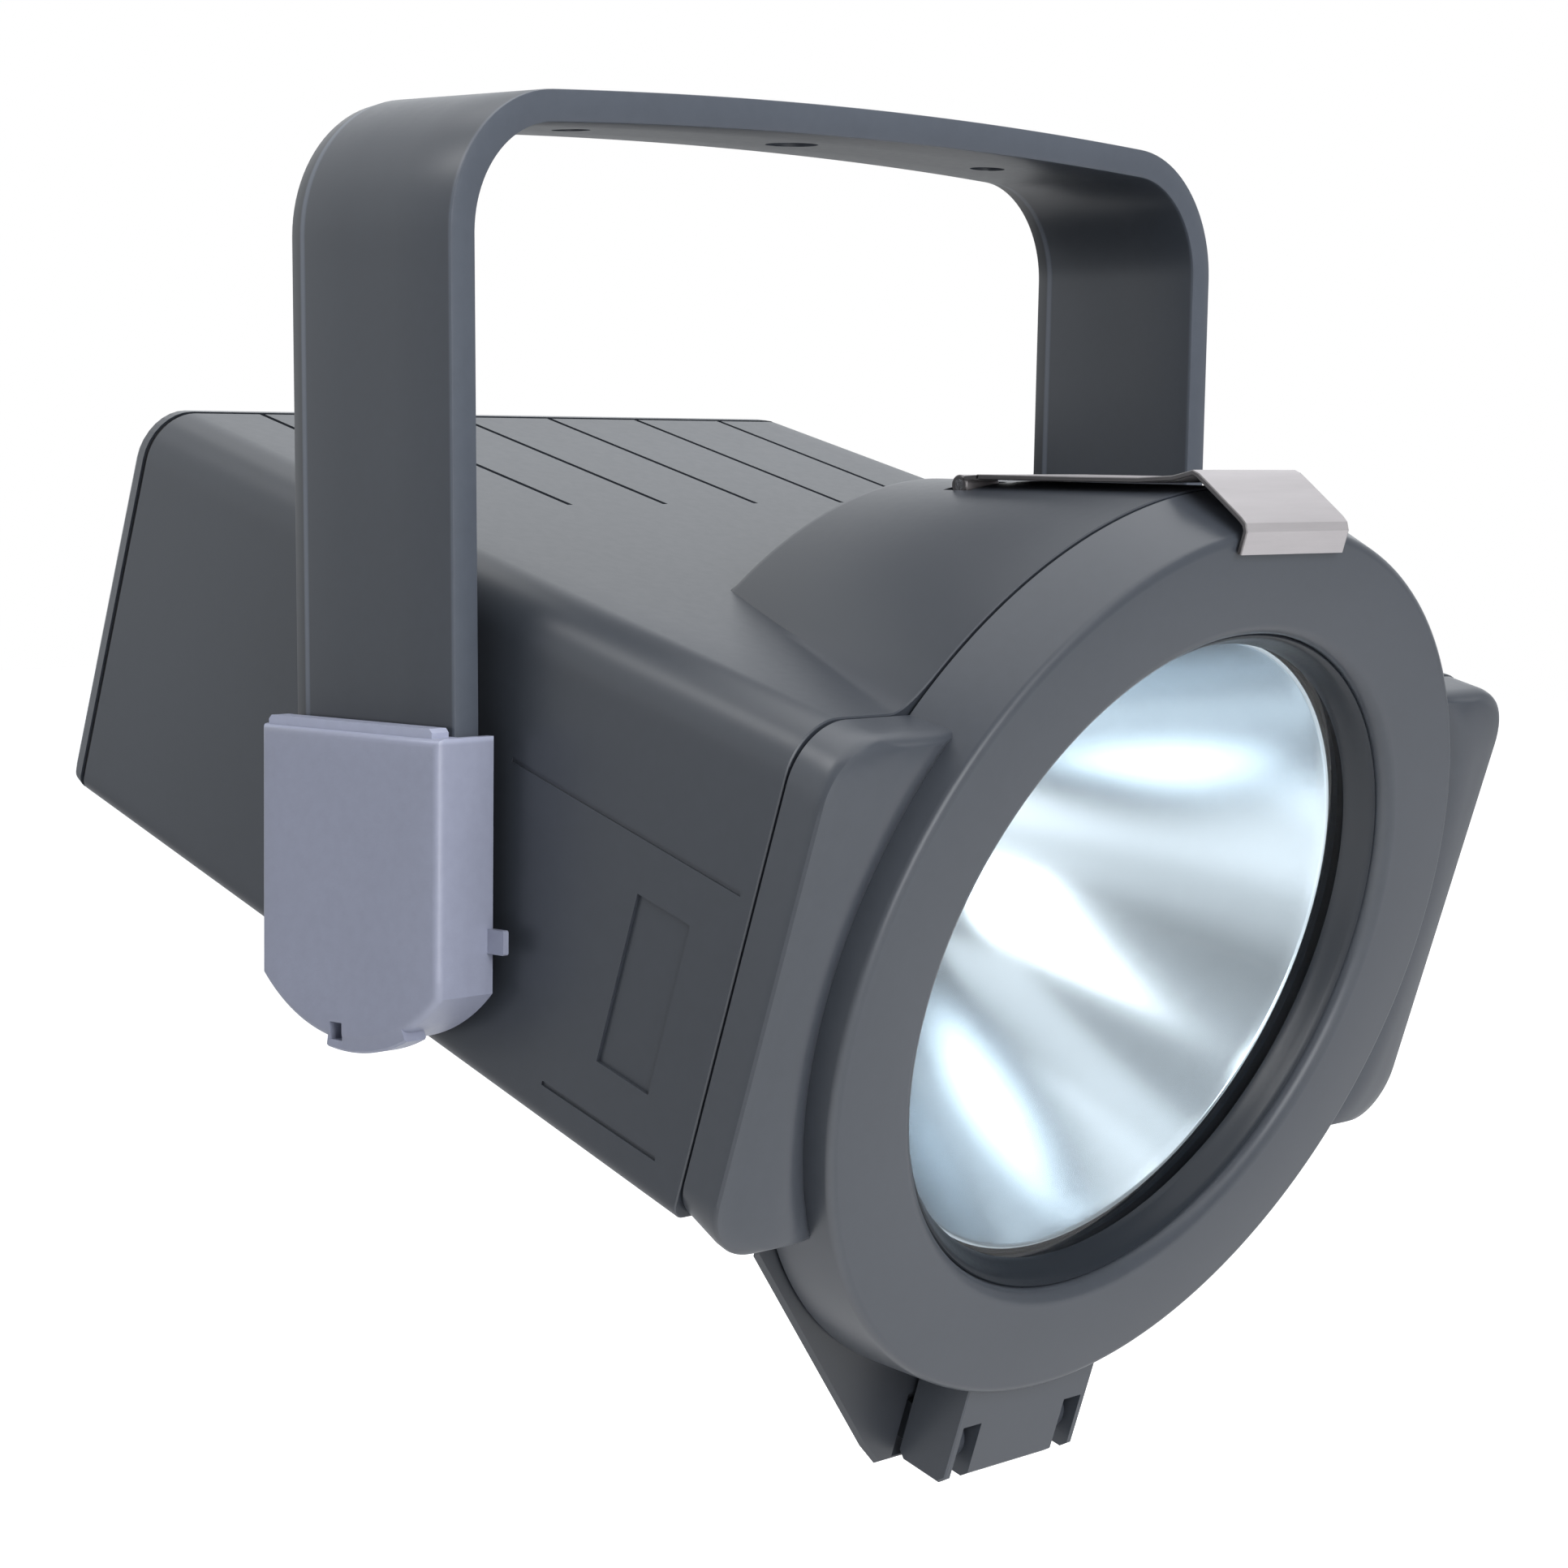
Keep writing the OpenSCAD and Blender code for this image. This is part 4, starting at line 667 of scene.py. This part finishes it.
def lugPiece(x, s):
    # a bar with a half round front about the hinge axis
    a = np.linspace(-math.pi / 2, math.pi / 2, 24)
    f = np.concatenate([hingeF + s["radius"] * np.cos(a), [s["rear"]] * 2])
    u = np.concatenate([hingeU + s["radius"] * np.sin(a), [hingeU + s["radius"], hingeU - s["radius"]]])
    return acrossBar(np.stack([f, u], -1), x - s["half"], x + s["half"])


lugPlaces = (-lugSize["x"], lugSize["x"])
ribs = [acrossBar(bracketBack["rib"], x - lugSize["half"], x + lugSize["half"]) for x in lugPlaces]
hingeBracket = solid("hingeBracket", [bracketPiece(bracketSize), headBlock(*bracketBack["block"])] + ribs)
carve(hingeBracket, [acrossRod(hingeF, hingeU, bracketSize["bore"], -bracketSize["boreHalf"],
                               bracketSize["boreHalf"], edge=0.01)], tangled=True)
settle(hingeBracket, "head", bracketShadedPaint, ["housing"], sharp=26)
lugs = solid("hingeLugs", [lugPiece(x, lugSize) for x in lugPlaces])
settle(lugs, "head", bodyPaint, ["housing"])
bossEnds = [sorted((side * bossSize["inner"], side * bossSize["outer"])) for side in (-1, 1)]
bosses = solid("pivotBosses", [acrossRod(0, 0, bossSize["radius"], *ends, bossSize["edge"], turns=72)
                               for ends in bossEnds])
settle(bosses, "head", bodyPaint, ["housing"])
print("stage: housing")

# Front frame: a ring turned about the optical axis, side wings and a slotted tongue down to the hinge.
# The front of a wing rises towards the ring, then rolls off in a quarter parabola to a groove beside it.
ringProfile = [(97, 101.5), (109.5, 101.5), (109.86, 101.8), (107.0, 117.9), (106.87, 118.45), (106.55, 119.05),
               (106.05, 119.5), (105.45, 119.8), (104.8, 119.9), (84.6, 119.9), (83.9, 119.83), (83.26, 119.63),
               (82.13, 118.87), (81.37, 117.74), (81.1, 116.4), (80.8, 113.0), (88.2, 113.0), (88.2, 105.5),
               (97, 105.5)]
# outlines of (forward, half width, top, bottom, upper corner, lower corner)
wingRows = [(101.5, 124.6, 70.9, -41.1, 13.0, 9.0), (101.8, 124.9, 71.2, -41.4, 13.0, 9.0),
            (107.0, 125.4, 71.45, -43.7, 13.5, 11.5), (110.4, 125.75, 71.6, -45.3, 13.8, 13.4),
            (111.4, 125.85, 71.5, -45.6, 14.0, 14.0), (112.3, 125.8, 71.3, -45.7, 14.0, 14.0),
            (113.0, 125.4, 71.0, -45.5, 13.6, 13.6), (113.5, 124.6, 70.7, -45.2, 13.4, 13.4),
            (113.9, 123.4, 70.4, -44.8, 13.2, 13.2), (114.4, 121.6, 70.2, -44.5, 13.0, 13.0),
            (114.8, 120.0, 70.0, -44.3, 13.0, 13.0), (115.1, 118.6, 69.8, -44.1, 13.0, 13.0)]
wingRoll = {"grooveR": 107.9, "grooveF": 112.6, "rollR": 121.0, "rollF": 116.8, "rise": 0.2, "soften": 2.5,
            "leastStep": 0.4, "insideR": 100.0, "rearF": 101.5, "headX": 84.0, "footX": 86.0}
tongueSize = {"half": 24.0, "edge": 0.5, "slotHalf": 3.25, "slotF": (98.0, 120.0), "slotU": (-125.0, -104.5)}
tongueSide = [(101.7, -89.7), (101.7, -117.8), (103.4, -119.5), (114.8, -119.5), (116.5, -117.8), (116.5, -89.7)]


def wingLine(half, top, bottom, rt, rb, s=wingRoll):
    # from under the ring along the head, around two corners and back along the foot
    cx, cu = corner(half, rt, top, math.pi / 2, 0, 16)
    dx, du = corner(half, rb, bottom, 0, -math.pi / 2, 16)
    headX = np.linspace(s["headX"], half - rt, 16)[:-1]
    footX = np.linspace(half - rb, s["footX"], 16)[1:]
    sideU = np.linspace(top - rt, bottom + rb, 40)[1:-1]
    x = np.concatenate([headX, cx, np.full(len(sideU), half), dx, footX])
    u = np.concatenate([np.full(len(headX), top), cu, sideU, du, np.full(len(footX), bottom)])
    return x, u


def rollAt(r, s=wingRoll):
    # the most that a wing may stand forward at a distance from the optical axis
    t = np.clip((r - s["grooveR"]) / (s["rollR"] - s["grooveR"]), 0, 1)
    return s["grooveF"] + (s["rollF"] - s["grooveF"]) * (1 - (1 - t) ** 2)


def wingPiece(side, s=wingRoll):
    # outlines stacked forward, then the last outline drawn in towards the optical axis
    rings = []
    for f, *shape in wingRows:
        x, u = wingLine(*shape)
        rings.append((x, softMin(f, rollAt(np.hypot(x, u - axisU)), s["soften"]), u))
    turn = np.arctan2(u - axisU, x)
    far = np.hypot(x, u - axisU)
    near = np.minimum(s["grooveR"], far - s["leastStep"])
    for share in np.linspace(0, 1, 19)[1:]:
        r = far + (near - far) * share
        up = wingRows[-1][0] + (far - r) * s["rise"]
        rings.append((r * np.cos(turn), softMin(up, rollAt(r), s["soften"]), axisU + r * np.sin(turn)))
    for depth in (s["grooveF"], s["rearF"]):
        rings.append((s["insideR"] * np.cos(turn), np.full(len(x), depth), axisU + s["insideR"] * np.sin(turn)))
    return tube(np.stack([fromHead(side * x, f, u) for x, f, u in rings], 1))


tongue = solid("tongue", [acrossBar(tongueSide, -tongueSize["half"], tongueSize["half"], tongueSize["edge"])])
carve(tongue, [headBlock(x - tongueSize["slotHalf"], x + tongueSize["slotHalf"], *tongueSize["slotF"],
                         *tongueSize["slotU"]) for x in lugPlaces])
settle(tongue, "frame", framePaint, ["front_frame"], sharp=26)
frontFrame = solid("frontFrame", [revolve(ringProfile), wingPiece(-1), wingPiece(1)])
settle(frontFrame, "frame", framePaint, ["front_frame"], sharp=26)

# Gasket around the glass, with a rounded lip before it.
gasketProfile = [(88.0, 105.5), (88.0, 112.9), (80.9, 112.9), (81.0, 116.0), (80.9, 116.5), (80.5, 116.75),
                 (79.9, 116.45), (79.2, 115.5), (78.4, 114.1), (77.7, 112.9), (77.1, 112.0), (76.6, 111.3),
                 (76.3, 110.5), (84.1, 110.5), (84.1, 107.0), (78.3, 107.0), (78.3, 105.5)]
lensGasket = solid("lensGasket", [revolve(gasketProfile)])
settle(lensGasket, "frame", gasketRubber, ["lens_gasket"], sharp=40)
print("stage: front frame")

# Reflector: a spun bowl whose depth grows with the square of the radius, with a rolled rim and a flat flange.
bowlSize = {"rim": 75.0, "rimF": 105.8, "vertexF": 22.0, "neck": 13.0, "skin": 2.4, "bead": 1.3, "flange": 93.0,
            "flangeF": 102.1, "flangeRearF": 100.9, "flangeFoot": 75.9, "backRim": 72.5}


def bowlProfile(s):
    # a parabola, a round bead that starts in line with it, the flange, then the parabola again one skin behind
    a = s["rim"] ** 2 / (s["rimF"] - s["vertexF"])
    r = np.linspace(s["neck"], s["rim"], 60)
    inside = list(zip(r, s["vertexF"] + r ** 2 / a))
    start = math.pi - math.atan2(a, 2 * s["rim"])
    midR, midF = s["rim"] - s["bead"] * math.cos(start), s["rimF"] - s["bead"] * math.sin(start)
    turn = np.linspace(start, 0, 14)[1:]
    bead = list(zip(midR + s["bead"] * np.cos(turn), midF + s["bead"] * np.sin(turn)))
    flange = [(midR + s["bead"], s["flangeF"]), (s["flange"], s["flangeF"]), (s["flange"], s["flangeRearF"]),
              (s["flangeFoot"], s["flangeRearF"])]
    q = np.linspace(s["backRim"], s["neck"], 40)
    return inside + bead + flange + list(zip(q, s["vertexF"] + q ** 2 / a - s["skin"]))


reflectorBowl = solid("reflectorBowl", [revolve(bowlProfile(bowlSize))])
settle(reflectorBowl, "head", mirror, ["reflector"], sharp=30)
print("stage: reflector")

# Latch clip: a bent spring sheet from two eyes on the fairing, over the seam, to a lip before the ring.
clipLine = np.array([(46.5, 103.75), (60, 108.1), (75, 112.9), (90, 117.8), (99, 121.3), (102.5, 123.4),
                     (103.6, 124.15), (104.8, 124.0), (108, 122.8), (114, 120.5), (118.4, 118.8), (119.7, 118.1),
                     (120.3, 117.2), (120.35, 112.1)])
clipTail = [(42.6, clipU + 1.3), (47, 103.9), (47, 105.1), (42.6, clipU + 2.3)]
clipSize = {"half": 19.5, "thick": 1.2, "eyeX": (7.5, 19.5), "eyeF": 42.0, "eyeRadius": 2.3, "eyeEdge": 0.3,
            "tailEdge": 0.2, "sheetEdge": 0.3, "edgeShare": 0.2}


def sheetPiece(line, s):
    # the sheet's upper side is the line pushed out by its thickness; both ends are a share thinner
    step = np.gradient(line, axis=0)
    step /= np.linalg.norm(step, axis=1)[:, None]
    outer = line + np.stack([-step[:, 1], step[:, 0]], -1) * s["thick"]
    loop = np.concatenate([line, outer[::-1]])
    inward = np.concatenate([outer - line, (line - outer)[::-1]]) * s["edgeShare"]
    points = loop[None] + np.array([1, 0, 0, 1])[:, None, None] * inward[None]
    half, edge = s["half"], s["sheetEdge"]
    xs = np.array([-half, -half + edge, half - edge, half])[:, None]
    return tube(fromHead(xs, points[..., 0], points[..., 1]))


clipParts = [sheetPiece(clipLine, clipSize)]
for side in (-1, 1):
    ends = sorted(side * x for x in clipSize["eyeX"])
    clipParts += [acrossRod(clipSize["eyeF"], clipU, clipSize["eyeRadius"], *ends, clipSize["eyeEdge"]),
                  acrossBar(clipTail, *ends, clipSize["tailEdge"])]
latchClip = solid("latchClip", clipParts)
settle(latchClip, "clip", springSteel, ["latch_clip"], sharp=28)
print("stage: latch clip")

# Plain floor below every pose of the hanging lamp, soft light from above and ahead, white behind.
# The camera sees the floor white; shiny surfaces see it bright near one spot beside the lamp.
floorSize = {"edge": 6.0, "height": -0.60, "white": 0.72, "glow": 0.78, "spot": (-0.32, -0.18), "full": 0.20,
             "gone": 0.44}
edge, low = floorSize["edge"], floorSize["height"]
floorMesh = bpy.data.meshes.new("floor")
floorMesh.from_pydata([(-edge, -edge, low), (edge, -edge, low), (edge, edge, low), (-edge, edge, low)], [],
                      [(0, 1, 2, 3)])
floor = placed("floor", floorMesh)
floorFinish = finish("floorFinish", tone(240, 240, 240), 0.9, patchAmount=0.004, speck=0.003, grainDepth=0.0)
tree = floorFinish.node_tree
floorSkin = tree.nodes["Principled BSDF"]
floorSkin.inputs["Emission Color"].default_value = (1.0, 1.0, 1.0, 1.0)
seen = tree.nodes.new("ShaderNodeLightPath").outputs
direct = mathNode(tree, "MAXIMUM", seen["Is Camera Ray"], seen["Is Transmission Ray"])
reach = tree.nodes.new("ShaderNodeVectorMath")
reach.operation = "DISTANCE"
reach.inputs[1].default_value = (*floorSize["spot"], low)
tree.links.new(tree.nodes.new("ShaderNodeTexCoord").outputs["Object"], reach.inputs[0])
glow = rangeNode(tree, reach.outputs["Value"], floorSize["full"], floorSize["gone"], floorSize["glow"], 0.0)
mirrored = mathNode(tree, "MULTIPLY", seen["Is Glossy Ray"], glow)
lift = mathNode(tree, "MULTIPLY_ADD", direct, floorSize["white"], mirrored)
tree.links.new(lift, floorSkin.inputs["Emission Strength"])
floorMesh.materials.append(floorFinish)


def facing(right, up, ahead, spot):
    # axes to the right, up and back, then the place
    turned = Matrix(np.column_stack([right, up, -ahead]).tolist()).to_4x4()
    turned.translation = spot
    return turned


# name, place, aim, width, height, watts, lights matt surfaces, shows in shiny ones
lamps = [("topSoft", (0.1, -0.1, 1.6), (0, 0, -0.1), 2.2, 2.2, 20.5, True, True),
         ("frontSoft", (-1.05, -1.44, -0.01), (0, -0.1, -0.2), 0.86, 1.15, 15.0, False, True),
         ("upperSoft", (-0.35, -1.39, 1.00), (0, -0.1, -0.2), 0.90, 0.90, 2.6, False, True),
         ("frontFill", (-0.35, -1.65, 0.50), (0, -0.1, -0.2), 1.25, 1.25, 31.5, True, False),
         ("rimSoft", (-0.95, 0.55, 1.05), (0, 0, -0.1), 0.45, 0.45, 3.8, True, True)]
for name, spot, aim, width, height, power, lights, mirrors in lamps:
    light = bpy.data.lights.new(name, "AREA")
    light.shape = "RECTANGLE"
    light.size = width
    light.size_y = height
    light.energy = power
    holder = placed(name, light)
    ahead = np.array(aim) - np.array(spot)
    ahead = ahead / np.linalg.norm(ahead)
    right = np.cross(ahead, (0, 0, 1.0))
    right = right / np.linalg.norm(right)
    holder.matrix_world = facing(right, np.cross(right, ahead), ahead, spot)
    holder.visible_camera = False
    holder.visible_diffuse = lights
    holder.visible_glossy = mirrors

# Matt surfaces see a plain sky; shiny ones see a studio that is bright behind the lamp and dimmer before it.
studio = {"sky": (0.93, 0.96, 1.0, 1.0), "skyLevel": 0.42, "room": (0.94, 0.97, 1.0, 1.0), "fadeFrom": -0.3,
          "fadeTo": 0.5, "frontLevel": 0.38, "rearLevel": 1.3}
world = bpy.data.worlds.new("studio")
scene.world = world
world.use_nodes = True
tree = world.node_tree
add, link = tree.nodes.new, tree.links.new
sky = tree.nodes["Background"]
sky.inputs["Color"].default_value = studio["sky"]
sky.inputs["Strength"].default_value = studio["skyLevel"]
axes = add("ShaderNodeSeparateXYZ")
link(add("ShaderNodeTexCoord").outputs["Generated"], axes.inputs["Vector"])
fade = rangeNode(tree, axes.outputs["Y"], studio["fadeFrom"], studio["fadeTo"], studio["frontLevel"],
                 studio["rearLevel"])
room = add("ShaderNodeBackground")
room.inputs["Color"].default_value = studio["room"]
link(fade, room.inputs["Strength"])
white = add("ShaderNodeBackground")
white.inputs["Color"].default_value = (1.0, 1.0, 1.0, 1.0)
white.inputs["Strength"].default_value = 1.0
seen = add("ShaderNodeLightPath").outputs
shiny = add("ShaderNodeMixShader")
link(seen["Is Glossy Ray"], shiny.inputs["Fac"])
link(sky.outputs["Background"], shiny.inputs[1])
link(room.outputs["Background"], shiny.inputs[2])
mix = add("ShaderNodeMixShader")
link(mathNode(tree, "MAXIMUM", seen["Is Camera Ray"], seen["Is Transmission Ray"]), mix.inputs["Fac"])
link(shiny.outputs["Shader"], mix.inputs[1])
link(white.outputs["Background"], mix.inputs[2])
link(mix.outputs["Shader"], tree.nodes["World Output"].inputs["Surface"])
scene.view_settings.view_transform = "Standard"

# Camera worked out from the photo: left of the lamp, slightly above its middle, almost level.
cameraView = {"turn": 47.64, "drop": 5.30, "roll": 0.68, "lens": 86.95, "sensor": 36.0, "near": 0.05,
              "place": (-0.68857, -0.62786, -0.07696)}
turn, drop, roll = [math.radians(cameraView[key]) for key in ("turn", "drop", "roll")]
ahead = np.array([math.sin(turn) * math.cos(drop), math.cos(turn) * math.cos(drop), -math.sin(drop)])
right = np.array([math.cos(turn), -math.sin(turn), 0.0])
up = np.cross(right, ahead)
right, up = math.cos(roll) * right + math.sin(roll) * up, -math.sin(roll) * right + math.cos(roll) * up
lens = bpy.data.cameras.new("camera")
lens.lens = cameraView["lens"]
lens.sensor_width = cameraView["sensor"]
lens.clip_start = cameraView["near"]
camera = placed("camera", lens)
camera.matrix_world = facing(right, up, ahead, cameraView["place"])
scene.camera = camera
print("stage: light and camera")
